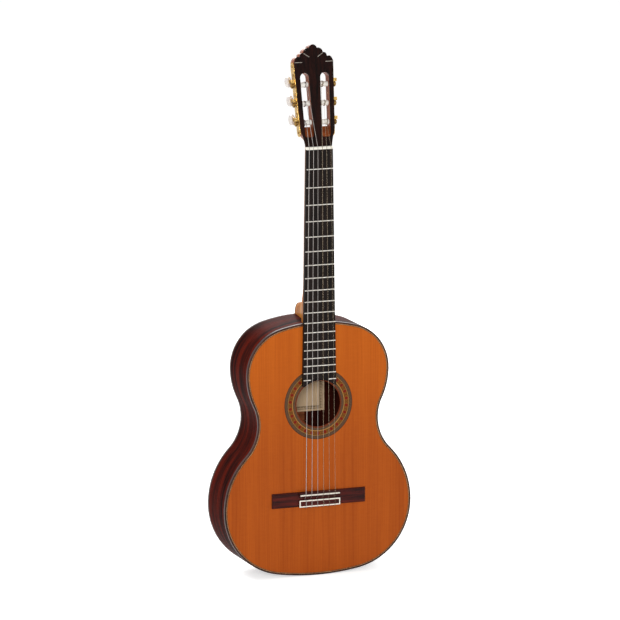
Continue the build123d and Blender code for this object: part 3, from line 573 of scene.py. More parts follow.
@dataclass(frozen=True)
class Nylon(Finish):
    """Clear nylon of a treble string.

    Attributes:
        cover: How much of what is behind the string it hides.
    """

    cover: float = 0.4

    def lay(self, tree: ShaderTree) -> None:
        """Build a half clear body with drawing marks along the string.

        Args:
            tree: The new material's nodes.
        """
        marks = tree.clouds((3000.0, 3000.0, 60.0), 2.0)
        tree.surface(
            Base_Color=tree.mix(marks, dye(150, 132, 110), dye(186, 168, 142)),
            Roughness=0.24 + marks * 0.12,
            Alpha=self.cover,
            Specular_IOR_Level=0.2,
        )


@dataclass(frozen=True)
class WoundString(Finish):
    """Silver-plated wire wound closely round a floss core.

    Attributes:
        pitch: Distance between two turns of the wire in metres.
    """

    pitch: float = 0.28 * MM

    def lay(self, tree: ShaderTree) -> None:
        """Build the turns as a ripple along the string.

        Args:
            tree: The new material's nodes.
        """
        _, y, z = tree.split(tree.place())
        ripple = ((z + y * 0.2) * (2 * math.pi / self.pitch)).sine() * 0.5 + 0.5
        worn = tree.clouds((400.0, 400.0, 90.0))
        tree.surface(
            Base_Color=tree.mix(worn, dye(140, 134, 130), dye(184, 178, 174)),
            Metallic=1.0,
            Roughness=0.34 + worn * 0.16,
            Normal=tree.bump(ripple, 0.06 * MM, 0.6),
        )


@dataclass(frozen=True)
class Metal(Finish):
    """Worked metal with fine brushing and faint handling marks.

    Attributes:
        light: Colour of the bright metal.
        dull: Colour where it is handled.
        polish: Roughness of the bright metal.
    """

    light: Colour
    dull: Colour
    polish: float

    def lay(self, tree: ShaderTree) -> None:
        """Build brushing and marks.

        Args:
            tree: The new material's nodes.
        """
        brushing = tree.clouds((2400.0, 500.0, 2400.0), 2.0)
        handled = tree.clouds(180.0, 4.0, 0.5).eased(0.35, 0.7)
        tree.surface(
            Base_Color=tree.mix(handled, self.light, self.dull),
            Metallic=1.0,
            Roughness=self.polish + handled * 0.15 + brushing * 0.08,
            Normal=tree.bump(brushing, 0.02 * MM, 0.25),
        )


@dataclass(frozen=True)
class EngravedGold(Finish):
    """Gold-plated brass with scrolls and hatching engraved all over it."""

    def lay(self, tree: ShaderTree) -> None:
        """Build scrolls from bent rings, darker in their grooves.

        Args:
            tree: The new material's nodes.
        """
        curl = tree.clouds(90.0, 1.0, 1.2)
        groove = (curl * 34.0).sine().size().eased(0.1, 0.42)
        leaf = tree.clouds(420.0, 2.0, 0.6)
        hatch = (leaf * 26.0).sine().size().eased(0.1, 0.5)
        shown = groove * (0.7 + hatch * 0.3)
        tree.surface(
            Base_Color=tree.mix(shown, dye(62, 42, 18), dye(214, 176, 102)),
            Metallic=1.0,
            Roughness=0.42 - shown * 0.18,
            Normal=tree.bump(shown, 0.22 * MM, 0.6),
        )


@dataclass(frozen=True)
class Pearl(Finish):
    """Pearl-look button plastic with clouded layers."""

    def lay(self, tree: ShaderTree) -> None:
        """Build drifting cream, rose and blue-grey clouds.

        Args:
            tree: The new material's nodes.
        """
        drift = tree.clouds((150.0, 90.0, 150.0), 4.0, 2.2)
        layers = tree.clouds((420.0, 260.0, 420.0), 3.0, 1.4)
        stops = [
            (0.28, dye(182, 172, 164)),
            (0.45, dye(222, 216, 208)),
            (0.58, dye(206, 190, 186)),
            (0.74, dye(176, 182, 190)),
        ]
        tree.surface(
            Base_Color=tree.ramp(drift * 0.65 + layers * 0.35, stops),
            Roughness=0.16 + layers * 0.1,
            Normal=tree.bump(layers, 0.04 * MM, 0.2),
        )


@dataclass(frozen=True)
class RollerPlastic(Finish):
    """White moulded plastic of the string rollers."""

    def lay(self, tree: ShaderTree) -> None:
        """Build a faint moulded grain and string marks.

        Args:
            tree: The new material's nodes.
        """
        grain = tree.clouds(700.0)
        stain = tree.clouds(120.0, 2.0)
        tree.surface(
            Base_Color=tree.mix(stain, dye(232, 228, 218), dye(248, 246, 240)),
            Roughness=0.32 + grain * 0.12,
            Specular_IOR_Level=0.3,
            Normal=tree.bump(grain, 0.02 * MM, 0.25),
        )


@dataclass(frozen=True)
class LabelPaper(Finish):
    """Cream paper with a plain printed border of small squares.

    Attributes:
        middle: X and Z of the label's middle in metres.
        half: Half its width and height in metres.
        frames: Margins of the two frame lines' outer sides in millimetres.
        frame_width: Width of a frame line in millimetres.
        row: Margins between which the squares are printed in millimetres.
        squares: Squares per millimetre.
    """

    middle: tuple[float, float] = (5.0 * MM, -480.5 * MM)
    half: tuple[float, float] = (43.0 * MM, 34.0 * MM)
    frames: tuple[float, float] = (4.0, 9.0)
    frame_width: float = 0.7
    row: tuple[float, float] = (5.0, 8.7)
    squares: float = 0.34

    def lay(self, tree: ShaderTree) -> None:
        """Build paper fibres, two frame lines and a row of squares between them.

        Args:
            tree: The new material's nodes.
        """
        x, _, z = tree.split(tree.place())
        from_side = self.half[0] - (x - self.middle[0]).size()
        from_end = self.half[1] - (z - self.middle[1]).size()
        margin = from_side.least(from_end) / MM
        fibre = tree.clouds(1400.0, 4.0)
        age = tree.clouds(26.0)
        paper = tree.mix(age * 0.6 + fibre * 0.4, dye(226, 188, 144), dye(246, 216, 176))
        ink = tree.mix(fibre, dye(66, 44, 26), dye(98, 70, 42))
        outer, inner = ((margin > at) * (margin < at + self.frame_width) for at in self.frames)
        across, up = ((way / MM * self.squares).fract() > 0.38 for way in (x, z))
        printed = outer + inner + across * up * (margin > self.row[0]) * (margin < self.row[1])
        tree.surface(Base_Color=tree.mix(printed, paper, ink), Roughness=0.7 + fibre * 0.15)


@dataclass(frozen=True)
class StudioGround(Finish):
    """Pale matt ground that keeps soft shadows and looks white to the eye.

    Attributes:
        lift: Light that it gives to the eye and to reflections.
    """

    lift: Colour = (0.6, 0.6, 0.6, 1.0)

    def lay(self, tree: ShaderTree) -> None:
        """Build matt paint, lifted to white for the camera and for reflections of it.

        Args:
            tree: The new material's nodes.
        """
        grain = tree.clouds(40.0)
        path = tree.node("ShaderNodeLightPath", output="Is Camera Ray")
        glossy = Signal(tree, path.socket.node.outputs["Is Glossy Ray"])
        through = Signal(tree, path.socket.node.outputs["Is Transmission Ray"])
        tree.surface(
            Base_Color=tree.mix(grain, dye(238, 238, 237), dye(246, 246, 245)),
            Roughness=0.85 + grain * 0.1,
            Specular_IOR_Level=0.1,
            Emission_Color=tree.mix(path + glossy + through, dye(0, 0, 0), self.lift),
            Emission_Strength=1.0,
        )


CEDAR = CedarTop("cedar_top")
ROSEWOOD_PORE = dye(10, 4, 4)
RIB_WOOD = Wood(
    "rosewood_rib", dye(21, 8, 7), dye(90, 24, 13), ROSEWOOD_PORE, Grain.ROUND_RIB, 150.0, 0.34, 0.003
)
BACK_WOOD = Wood(
    "rosewood_back", dye(26, 10, 8), dye(78, 28, 17), ROSEWOOD_PORE, Grain.UP_NECK, 110.0, 0.3, 0.05
)
BINDING_WOOD = Wood(
    "rosewood_binding", dye(34, 20, 18), dye(78, 46, 38), ROSEWOOD_PORE, Grain.ROUND_RIB, 400.0, 0.24, 0.18
)
BRIDGE_WOOD = Wood(
    "rosewood_bridge", dye(26, 9, 9), dye(84, 26, 20), ROSEWOOD_PORE, Grain.ACROSS_BRIDGE, 260.0
)
VENEER_WOOD = Wood(
    "rosewood_veneer", dye(13, 7, 6), dye(38, 16, 12), dye(6, 4, 4), Grain.UP_NECK, 320.0, 0.28, 0.05
)
CAP_WOOD = Wood("rosewood_cap", dye(24, 10, 9), dye(66, 26, 18), ROSEWOOD_PORE, Grain.UP_NECK, 260.0)
EBONY = Wood(
    "ebony_board", dye(10, 8, 8), dye(34, 25, 22), dye(4, 4, 4), Grain.UP_NECK, 420.0, 0.42, 0.08
)
NECK_WOOD = Wood(
    "cedro_neck", dye(168, 96, 32), dye(212, 142, 58), dye(122, 64, 22), Grain.UP_NECK, 150.0, 0.3, 0.03
)
HEAD_WOOD = Wood(
    "cedro_head", dye(116, 52, 24), dye(166, 88, 42), dye(70, 28, 14), Grain.UP_NECK, 170.0
)
CEDRO_STRIP = Wood(
    "cedro_strip", dye(122, 66, 38), dye(168, 98, 58), dye(84, 42, 24), Grain.ACROSS_BRIDGE, 300.0, 0.55
)
SPRUCE_TONES = (dye(196, 158, 108), dye(222, 190, 144), dye(176, 136, 88))
SPRUCE = Wood("spruce_brace", *SPRUCE_TONES, Grain.ACROSS_BRIDGE, 700.0, 0.55)
FAN_SPRUCE = Wood("spruce_fan", *SPRUCE_TONES, Grain.UP_NECK, 700.0, 0.55)
WILLOW = Wood(
    "willow_lining", dye(170, 128, 84), dye(198, 158, 110), dye(140, 100, 64), Grain.ROUND_RIB, 300.0, 0.6
)
BLACK_LINE = Wood("dyed_line", dye(16, 11, 10), dye(34, 24, 20), dye(8, 6, 5), Grain.ROUND_RIB, 900.0)
PALE_LINE = Wood(
    "maple_line", dye(176, 132, 84), dye(206, 164, 112), dye(150, 108, 66), Grain.ROUND_RIB, 900.0
)
RED_LINE = Wood("padauk_line", dye(96, 36, 18), dye(128, 54, 26), dye(60, 20, 12), Grain.ROUND_RIB, 900.0)
INLAY_LINE = Wood(
    "grey_inlay", dye(150, 142, 132), dye(196, 188, 176), dye(120, 112, 102), Grain.ACROSS_BRIDGE, 900.0
)
BACK_STRIP = StripedInlay("back_strip")
ROSETTE = RosetteMosaic("rosette_mosaic")
BONE = Bone("bone")
NYLON = Nylon("clear_nylon")
WOUND = WoundString("silver_winding")
NICKEL = Metal("nickel_silver", dye(226, 222, 214), dye(188, 182, 172), 0.18)
GOLD = Metal("gold_plate", dye(186, 156, 100), dye(112, 88, 52), 0.24)
BRASS = Metal("brass_wheel", dye(176, 144, 86), dye(108, 84, 48), 0.28)
STEEL = Metal("screw_steel", dye(188, 160, 104), dye(126, 100, 62), 0.3)
ENGRAVED = EngravedGold("engraved_gold")
PEARL = Pearl("pearl_button")
ROLLER = RollerPlastic("roller_plastic")
PAPER = LabelPaper("label_paper")
GROUND = StudioGround("studio_ground")


# ---- making pieces -----------------------------------------------------------------------------


class Bench:
    """Turns meshes into finished pieces that ride on the guitar.

    Attributes:
        CREASE: Bend from which an edge looks sharp.
        CORNER: Bend over which an edge is eased.
        FLAT: Bend under which two CAD faces are one.
        SAME_SPOT: Distance in metres under which two points are one.
        SAME_CAD_SPOT: The same for the points of a CAD node's mesh.
    """

    CREASE = math.radians(38)
    CORNER = math.radians(35)
    FLAT = math.radians(0.4)
    SAME_SPOT = 1e-6
    SAME_CAD_SPOT = 2e-6

    @staticmethod
    def finish(
        bm: bmesh.types.BMesh,
        name: str,
        finish: Finish,
        body: str = GUITAR_BODY,
        slot: str = "",
        stands_for: Sequence[str] = (),
    ) -> None:
        """Make an object of a mesh, dress it and let it ride.

        Args:
            bm: The finished mesh; it is freed.
            name: The piece's name.
            finish: Its finish.
            body: The body that it rides on.
            slot: The record's material slot; it is not used.
            stands_for: CAD nodes that it replaces.
        """
        bmesh.ops.remove_doubles(bm, verts=bm.verts, dist=Bench.SAME_SPOT)
        bmesh.ops.recalc_face_normals(bm, faces=bm.faces)
        for face in bm.faces:
            face.smooth = True
        for edge in bm.edges:
            edge.smooth = len(edge.link_faces) == 2 and edge.calc_face_angle(0.0) < Bench.CREASE
        mesh = bpy.data.meshes.new(name)
        bm.to_mesh(mesh)
        bm.free()
        made = bpy.data.objects.new(name, mesh)
        bpy.context.scene.collection.objects.link(made)
        made.data.materials.append(finish.material())
        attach(made, body)
        if stands_for:
            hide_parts(*stands_for)
        log.info("made %s with %d faces", name, len(mesh.polygons))

    @staticmethod
    def copy_of(node: str) -> bmesh.types.BMesh:
        """Copy a CAD node's mesh.

        Args:
            node: The node's name.

        Returns:
            The copy, merged and with its flat faces made whole.
        """
        bm = bmesh.new()
        bm.from_mesh(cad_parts[node].data)
        bmesh.ops.remove_doubles(bm, verts=bm.verts, dist=Bench.SAME_CAD_SPOT)
        bmesh.ops.dissolve_limit(bm, angle_limit=Bench.FLAT, verts=bm.verts, edges=bm.edges)
        return bm

    @staticmethod
    def round_over(
        bm: bmesh.types.BMesh,
        edges: Sequence[bmesh.types.BMEdge],
        width: float,
        steps: int,
        clamp: bool,
    ) -> None:
        """Round edges.

        Args:
            bm: The mesh.
            edges: Its edges that are rounded.
            width: How far the rounding reaches from an edge in metres.
            steps: Facets across the rounding.
            clamp: Whether the rounding is kept from running into its neighbours.
        """
        bmesh.ops.bevel(
            bm,
            geom=edges,
            offset=width,
            offset_type="OFFSET",
            segments=steps,
            profile=0.5,
            affect="EDGES",
            clamp_overlap=clamp,
            material=-1,
        )

    @staticmethod
    def ease(bm: bmesh.types.BMesh, width: float, wanted: Callable[[Vector], bool], steps: int = 2) -> None:
        """Round the sharp outer edges whose two ends pass a test.

        Args:
            bm: The mesh.
            width: How far the rounding reaches from an edge in metres.
            wanted: Test of a point.
            steps: Facets across the rounding.
        """
        edges = [
            edge
            for edge in bm.edges
            if len(edge.link_faces) == 2
            and edge.calc_face_angle(0.0) > Bench.CORNER
            and edge.is_convex
            and all(wanted(vert.co) for vert in edge.verts)
        ]
        Bench.round_over(bm, edges, width, steps, clamp=True)

    @staticmethod
    def eased(node: str, name: str, finish: Finish, width: float, wanted: Callable[[Vector], bool]) -> None:
        """Replace a CAD node with a copy whose sharp outer edges are rounded.

        Args:
            node: The node's name, which is also its material slot's.
            name: The new piece's name.
            finish: Its finish.
            width: How far the rounding reaches from an edge in metres.
            wanted: Test of a point on an edge that is rounded.
        """
        bm = Bench.copy_of(node)
        Bench.ease(bm, width, wanted)
        Bench.finish(bm, name, finish, slot=node, stands_for=[node])

    @staticmethod
    def ring(bm: bmesh.types.BMesh, points: Sequence[Vector]) -> list[bmesh.types.BMEdge]:
        """Make a closed ring of edges through points.

        Args:
            bm: The mesh.
            points: The ring's points in order.

        Returns:
            The ring's edges.
        """
        made = bmesh.ops.create_circle(bm, segments=len(points), radius=1.0)["verts"]
        for vert, point in zip(made, points):
            vert.co = point
        return list({edge for vert in made for edge in vert.link_edges})

    @staticmethod
    def loft(bm: bmesh.types.BMesh, rings: Sequence[Sequence[Vector]]) -> None:
        """Skin a row of rings and close both ends.

        Args:
            bm: The mesh.
            rings: The rings in order, with as many points each.
        """
        loops = [Bench.ring(bm, points) for points in rings]
        for first, second in zip(loops, loops[1:]):
            bmesh.ops.bridge_loops(bm, edges=first + second)
        for end in (loops[0], loops[-1]):
            bmesh.ops.contextual_create(bm, geom=end)

    @staticmethod
    def band(
        bm: bmesh.types.BMesh,
        outer: Sequence[Vector],
        inner: Sequence[Vector],
        depth: Vector,
    ) -> list[bmesh.types.BMEdge]:
        """Make a closed band between two rings, with a thickness.

        Args:
            bm: The mesh.
            outer: Points of the outer ring.
            inner: As many points of the inner ring.
            depth: The way from the shown face to the hidden one.

        Returns:
            The shown face's outer edges.
        """
        edges = Bench.ring(bm, outer)
        faces = bmesh.ops.bridge_loops(bm, edges=edges + Bench.ring(bm, inner))["faces"]
        grown = bmesh.ops.extrude_face_region(bm, geom=faces)["geom"]
        moved = [g for g in grown if isinstance(g, bmesh.types.BMVert)]
        bmesh.ops.translate(bm, verts=moved, vec=depth)
        bmesh.ops.recalc_face_normals(bm, faces=bm.faces)
        return edges

    @staticmethod
    def block(bm: bmesh.types.BMesh, low: Vector, high: Vector, width: float) -> None:
        """Make a box with rounded edges.

        Args:
            bm: The mesh.
            low: Its corner with the lowest places.
            high: Its corner with the highest places.
            width: How far the rounding reaches from an edge in metres.
        """
        middle = Matrix.Translation((low + high) / 2)
        spread = Matrix.Diagonal((*(high - low), 1.0))
        made = bmesh.ops.create_cube(bm, size=1.0, matrix=middle @ spread)
        edges = list({edge for vert in made["verts"] for edge in vert.link_edges})
        Bench.round_over(bm, edges, width, 2, clamp=False)


@dataclass(frozen=True)
class BodyOutline:
    """Outline of the body as arcs that run into each other, in millimetres.

    Attributes:
        length: Length of the body.
        upper: Half the width of the upper bout.
        upper_from_top: How far down from the neck the upper bout is widest.
        waist: Half the width of the waist.
        waist_from_top: How far down the waist is.
        lower: Half the width of the lower bout.
        lower_from_top: How far down the lower bout is widest.
        top_arc: Radius of the arc at the neck.
        bottom_arc: Radius of the arc at the bottom.
        waist_arc: Radius of the arc at the waist.
        steps: Points along each arc.
    """

    length: float = 483.0
    upper: float = 141.0
    upper_from_top: float = 95.0
    waist: float = 119.5
    waist_from_top: float = 189.0
    lower: float = 186.0
    lower_from_top: float = 351.0
    top_arc: float = 292.0
    bottom_arc: float = 475.0
    waist_arc: float = 84.0
    steps: int = 18

    def _end_arc(self, arc: float, reach: float, half: float) -> float:
        """Radius of the arc between a widest point and an end arc."""
        return (2 * arc * reach - half**2 - reach**2) / (2 * (arc - half))

    def _flank(self, half: float, rise: float) -> float:
        """Radius of the arc between a widest point and the waist arc."""
        narrowing = half - self.waist
        return (narrowing**2 + rise**2) / (2 * narrowing) - self.waist_arc

    def arcs(self, inset: float) -> list[tuple[float, float, float, float, float]]:
        """Work out the arcs of the treble half, from the neck down.

        Args:
            inset: How far inside the outline they run.

        Returns:
            Each arc's centre in X and Z, radius, first angle and last angle.
        """
        top = BODY_TOP / MM
        upper_z, lower_z = top - self.upper_from_top, top - self.lower_from_top
        waist_z = top - self.waist_from_top
        shoulder = self._end_arc(self.top_arc, self.upper_from_top, self.upper)
        hip = self._end_arc(self.bottom_arc, self.length - self.lower_from_top, self.lower)
        upper_flank = self._flank(self.upper, self.waist_from_top - self.upper_from_top)
        lower_flank = self._flank(self.lower, self.lower_from_top - self.waist_from_top)
        top_z = top - self.top_arc
        bottom_z = top - self.length + self.bottom_arc
        waist_x = self.waist + self.waist_arc
        top_end = math.atan2(upper_z - top_z, self.upper - shoulder)
        upper_end = math.atan2(waist_z - upper_z, waist_x - (self.upper - upper_flank))
        lower_start = math.atan2(waist_z - lower_z, waist_x - (self.lower - lower_flank))
        bottom_start = math.atan2(lower_z - bottom_z, self.lower - hip)
        return [
            (0, top_z, self.top_arc - inset, math.pi / 2, top_end),
            (self.upper - shoulder, upper_z, shoulder - inset, top_end, 0),
            (self.upper - upper_flank, upper_z, upper_flank - inset, 0, upper_end),
            (waist_x, waist_z, self.waist_arc + inset, math.pi + upper_end, math.pi + lower_start),
            (self.lower - lower_flank, lower_z, lower_flank - inset, lower_start, 0),
            (self.lower - hip, lower_z, hip - inset, 0, bottom_start),
            (0, bottom_z, self.bottom_arc - inset, bottom_start, -math.pi / 2),
        ]

    def ring(self, inset: float, depth: float) -> list[Vector]:
        """Points round the whole outline.

        Args:
            inset: How far inside the outline, in millimetres.
            depth: Y of the ring in metres.

        Returns:
            The points, from the neck down the treble side and up the bass side.
        """
        half = []
        for x, z, radius, first, last in self.arcs(inset):
            for step in range(self.steps):
                angle = first + (last - first) * step / self.steps
                half.append((x + radius * math.cos(angle), z + radius * math.sin(angle)))
        bottom = (0.0, BODY_TOP / MM - self.length + inset)
        mirrored = [(-x, z) for x, z in reversed(half[1:])]
        return [Vector((x * MM, depth, z * MM)) for x, z in [*half, bottom, *mirrored]]


@dataclass(frozen=True)
class HeadFrame:
    """The tilted head: x across, s up its face from the nut, depth in from the face, in millimetres.

    Attributes:
        tilt: How far the face leans back, in radians.
        base: Where the face's middle line starts.
        low: Half width and height where the sides start to widen.
        high: Half width and height where they end at the crown.
    """

    tilt: float = math.radians(10.0)
    base: tuple[float, float, float] = (0.0, -17.5, 5.0)
    low: tuple[float, float] = (33.5, 32.0)
    high: tuple[float, float] = (38.5, 157.0)

    @property
    def normal(self) -> Vector:
        """The way out of the head's face."""
        return Vector((0.0, -math.cos(self.tilt), math.sin(self.tilt)))

    @property
    def up(self) -> Vector:
        """The way up the head's face."""
        return Vector((0.0, math.sin(self.tilt), math.cos(self.tilt)))

    def spot(self, x: float, s: float, depth: float) -> Vector:
        """Point in metres from a place on the head."""
        return (Vector(self.base) + Vector((x, 0, 0)) + s * self.up - depth * self.normal) * MM

    def read(self, point: Vector) -> tuple[float, float, float]:
        """Place on the head, in millimetres, of a point in metres."""
        from_base = point / MM - Vector(self.base)
        return from_base.x, from_base.dot(self.up), -from_base.dot(self.normal)

    @property
    def slope(self) -> float:
        """Angle between the head's side and its middle line."""
        return math.atan2(self.high[0] - self.low[0], self.high[1] - self.low[1])

    def half_width(self, s: float) -> float:
        """Half the head's width at a height."""
        return self.low[0] + (s - self.low[1]) * math.tan(self.slope)

    def outwards(self, side: int) -> Vector:
        """The way out of the treble side face (1) or the bass one (-1)."""
        face = Vector((math.cos(self.slope), 0, 0)) - math.sin(self.slope) * self.up
        return Vector((side * face.x, face.y, face.z))


OUTLINE = BodyOutline()
HEAD = HeadFrame()
OUT_OF_BODY = Vector((0.0, 1.0, 0.0))


# ---- sub-assemblies ----------------------------------------------------------------------------


class SubAssembly:
    """A part of the guitar: pieces of its own, and CAD nodes that it keeps and dresses."""

    def build(self) -> None:
        """Make the pieces; a sub-assembly that has none of its own makes nothing."""

    def kept(self) -> dict[str, Finish]:
        """The finish of each CAD node that is kept, by its name."""
        return {}

    def dress(self) -> None:
        """Lay the finishes on the CAD nodes that are kept."""
        for node, finish in self.kept().items():
            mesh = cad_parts[node].data
            mesh.materials.clear()
            mesh.materials.append(finish.material())
            log.info("dressed %s in %s", node, finish.name)


@dataclass(frozen=True)
class Soundbox(SubAssembly):
    """The body: boards, ribs, braces, and the bindings and lines round its edges.

    Attributes:
        binding: Width of the bindings in millimetres.
        lines: Widths in millimetres and finishes of the lines inside the front binding.
        line_depth: Depth of the lines in metres.
        binding_depth: Depth of the front binding in metres.
        rounding: Rounding of the binding's outer edge in metres.
    """

    binding: float = 2.4
    lines: tuple[tuple[float, Finish], ...] = (
        (0.9, BLACK_LINE),
        (0.35, PALE_LINE),
        (0.55, RED_LINE),
        (0.35, PALE_LINE),
        (0.65, BLACK_LINE),
    )
    line_depth: float = 1.2 * MM
    binding_depth: float = 5.5 * MM
    rounding: float = 0.9 * MM

    def build(self) -> None:
        """Make the front binding with its rounded edge and the coloured lines inside it."""
        bm = bmesh.new()
        outer = OUTLINE.ring(0.0, SOUNDBOARD_TOP)
        inner = OUTLINE.ring(self.binding, SOUNDBOARD_TOP)
        edges = Bench.band(bm, outer, inner, OUT_OF_BODY * self.binding_depth)
        Bench.round_over(bm, edges, self.rounding, 3, clamp=False)
        Bench.finish(bm, "front_binding", BINDING_WOOD, slot="binding_top", stands_for=["binding_top"])
        start = self.binding
        for number, (width, finish) in enumerate(self.lines):
            bm = bmesh.new()
            outer = OUTLINE.ring(start, SOUNDBOARD_TOP)
            inner = OUTLINE.ring(start + width, SOUNDBOARD_TOP)
            Bench.band(bm, outer, inner, OUT_OF_BODY * self.line_depth)
            stands_for = ["purfling_top"] if number == 0 else []
            Bench.finish(bm, f"front_line_{number}", finish, slot="purfling_top", stands_for=stands_for)
            start += width

    def kept(self) -> dict[str, Finish]:
        """Finishes of the boards, ribs, braces, blocks and label."""
        return {
            "soundboard": CEDAR,
            "rosette": ROSETTE,
            "binding_back": BINDING_WOOD,
            "back": BACK_WOOD,
            "back_centre_strip": BACK_STRIP,
            "treble_side": RIB_WOOD,
            "bass_side": RIB_WOOD,
            "end_strip": BINDING_WOOD,
            "end_block": WILLOW,
            "linings": WILLOW,
            "soundboard_braces": FAN_SPRUCE,
            "back_braces": SPRUCE,
            "back_inner_strip": CEDRO_STRIP,
            "label": PAPER,
        }


@dataclass(frozen=True)
class Neck(SubAssembly):
    """The carved neck with its heel and cap, the fingerboard, frets and nut, in millimetres.

    Attributes:
        nut_width: Width at the nut.
        join_width: Width at the body.
        face: Y of the neck's flat face under the fingerboard.
        fall: How much deeper the neck's back is at the heel than at the nut.
        heel_start: Z where the heel's curve starts.
        heel_blend: Height over which the neck's round back turns into the heel.
        heel_square: How much squarer than an ellipse the heel's section is.
        heel_corner: Z of the corner that the heel's curve rounds.
        heel_radius: Radius of that curve.
        heel_toe: Z of the heel's toe at the cap.
        tip: Y of the cap's outer face.
        cap: Thickness of the cap.
        wrap: Share of a section's quarter turn that its points go round.
        half_widths: The heel's half width at depths from the soundboard's face.
        block: Lowest and highest corner of the block inside the body.
    """

    nut_width: float = 52.0
    join_width: float = 62.0
    face: float = -15.0
    fall: float = 2.5
    heel_start: float = -251.0
    heel_blend: float = 34.0
    heel_square: float = 1.6
    heel_corner: float = -284.0
    heel_radius: float = 38.0
    heel_toe: float = -305.0
    tip: float = 83.0
    cap: float = 2.5
    wrap: float = 0.97
    half_widths: tuple[tuple[float, float], ...] = (
        (-15.0, 31.0),
        (-5.0, 29.4),
        (4.7, 26.6),
        (16.0, 21.8),
        (29.3, 17.0),
        (56.0, 13.9),
        (83.0, 11.5),
    )
    block: tuple[tuple[float, float, float], ...] = ((-31.0, -12.4, -355.0), (31.0, 80.0, -330.2))

    def back_depth(self, z: float) -> float:
        """Find the neck's back, with the heel's curve.

        Args:
            z: A height.

        Returns:
            Y of the back there.
        """
        flat = self.fall * min(-z, -self.heel_start) / -self.heel_start
        run, drop = self.tip - flat, self.heel_corner - self.heel_toe
        turn = math.atan2(run, drop)
        tangent = self.heel_radius * math.tan(turn / 2)
        start = self.heel_corner + tangent
        if z >= start:
            return flat
        end = self.heel_corner - tangent * math.cos(turn)
        if z >= end:
            return flat + self.heel_radius - math.sqrt(self.heel_radius**2 - (start - z) ** 2)
        return self.tip + (self.heel_toe - z) * run / drop

    def heel_half(self, y: float) -> float:
        """Find half the heel's width.

        Args:
            y: A depth.

        Returns:
            Half the width there.
        """
        for (y0, w0), (y1, w1) in zip(self.half_widths, self.half_widths[1:]):
            if y <= y1:
                return w0 + (w1 - w0) * (y - y0) / (y1 - y0)
        return self.half_widths[-1][1]

    def half_width(self, y: float, z: float) -> float:
        """Find half the neck's width.

        Args:
            y: A depth.
            z: A height.

        Returns:
            Half the width there.
        """
        share = min(1.0, (y - self.face) / (self.back_depth(z) - self.face))
        heel = smooth(min(1.0, max(0.0, (self.heel_start - z) / self.heel_blend)))
        board = (self.nut_width + (self.join_width - self.nut_width) * z / (BODY_TOP / MM)) / 2
        shaft = board * math.sqrt(1 - share**2)
        carved = min(board, self.heel_half(y)) * math.sqrt(1 - share ** (2 + self.heel_square * heel))
        return shaft + (carved - shaft) * heel

    def section(self, z: float, steps: int = 16, across_steps: int = 5) -> list[Vector]:
        """Ring of the neck's section under the cap.

        Args:
            z: Its height.
            steps: Points on each side.
            across_steps: Steps across the flat face.

        Returns:
            The ring's points in metres.
        """
        run = min(self.back_depth(z), self.tip - self.cap) - self.face
        side = []
        for step in range(steps):
            y = self.face + run * math.sin(self.wrap * math.pi / 2 * step / (steps - 1))
            side.append((self.half_width(y, z), y))
        points = [*side, *[(-x, y) for x, y in reversed(side)]]
        across = side[0][0]
        points += [(-across + across * 2 * part / across_steps, self.face) for part in range(1, across_steps)]
        return [Vector((x * MM, y * MM, z * MM)) for x, y in points]

    def build(self) -> None:
        """Loft the neck, its inner block and its cap, and ease the fingerboard and nut."""
        bm = bmesh.new()
        heights = [-2.0, -40.0, -90.0, -140.0, -190.0, -230.0, -250.0]
        heights += [-254.0 - 3.0 * step for step in range(12)]
        heights += [-289.0 - 1.2 * step for step in range(16)] + [-312.0, -325.0]
        _, face, nut = HEAD.base
        top = self.section(nut)
        for point in top:
            point.z -= (point.y - face * MM) * math.tan(HEAD.tilt)
        Bench.loft(bm, [top, *[self.section(z) for z in heights]])
        low, high = (Vector(corner) * MM for corner in self.block)
        Bench.block(bm, low, high, 1.0 * MM)
        Bench.finish(bm, "carved_neck", NECK_WOOD, slot="neck", stands_for=["neck"])
        self._build_cap()
        half = self.nut_width / 2
        Bench.eased(
            "fingerboard",
            "eased_fingerboard",
            EBONY,
            0.5 * MM,
            lambda p: abs(p.x) > (half - 1.0) * MM and p.y < FINGERBOARD_TOP + MM,
        )
        Bench.eased("nut", "eased_nut", BONE, 0.25 * MM, lambda p: abs(p.x) > (half - 0.5) * MM)

    def _build_cap(self) -> None:
        """Make the heel cap to the carved heel's outline."""
        foot = BODY_TOP / MM
        cut = self.tip - self.cap
        sides = [(self.half_width(cut - 0.4, z), z) for z in (foot + 1.3 * step for step in range(15))]
        last_x, last_z = sides[-1]
        toe = [(last_x * math.cos(turn), last_z + 2.2 * math.sin(turn)) for turn in (0.5, 1.0)]
        half = [*sides, *toe]
        outline = [*half, (0.0, toe[-1][1] + 0.4), *[(-x, z) for x, z in reversed(half)]]
        levels = ((cut, 1.0), (self.tip - 0.7, 1.0), (self.tip - 0.2, 0.97), (self.tip, 0.92))
        rings = [
            [Vector((x * share * MM, y * MM, (foot + (z - foot) * share) * MM)) for x, z in outline]
            for y, share in levels
        ]
        bm = bmesh.new()
        Bench.loft(bm, rings)
        Bench.finish(bm, "shaped_heel_cap", CAP_WOOD, slot="heel_cap", stands_for=["heel_cap"])

    def kept(self) -> dict[str, Finish]:
        """Finish of the frets."""
        return {"frets": NICKEL}


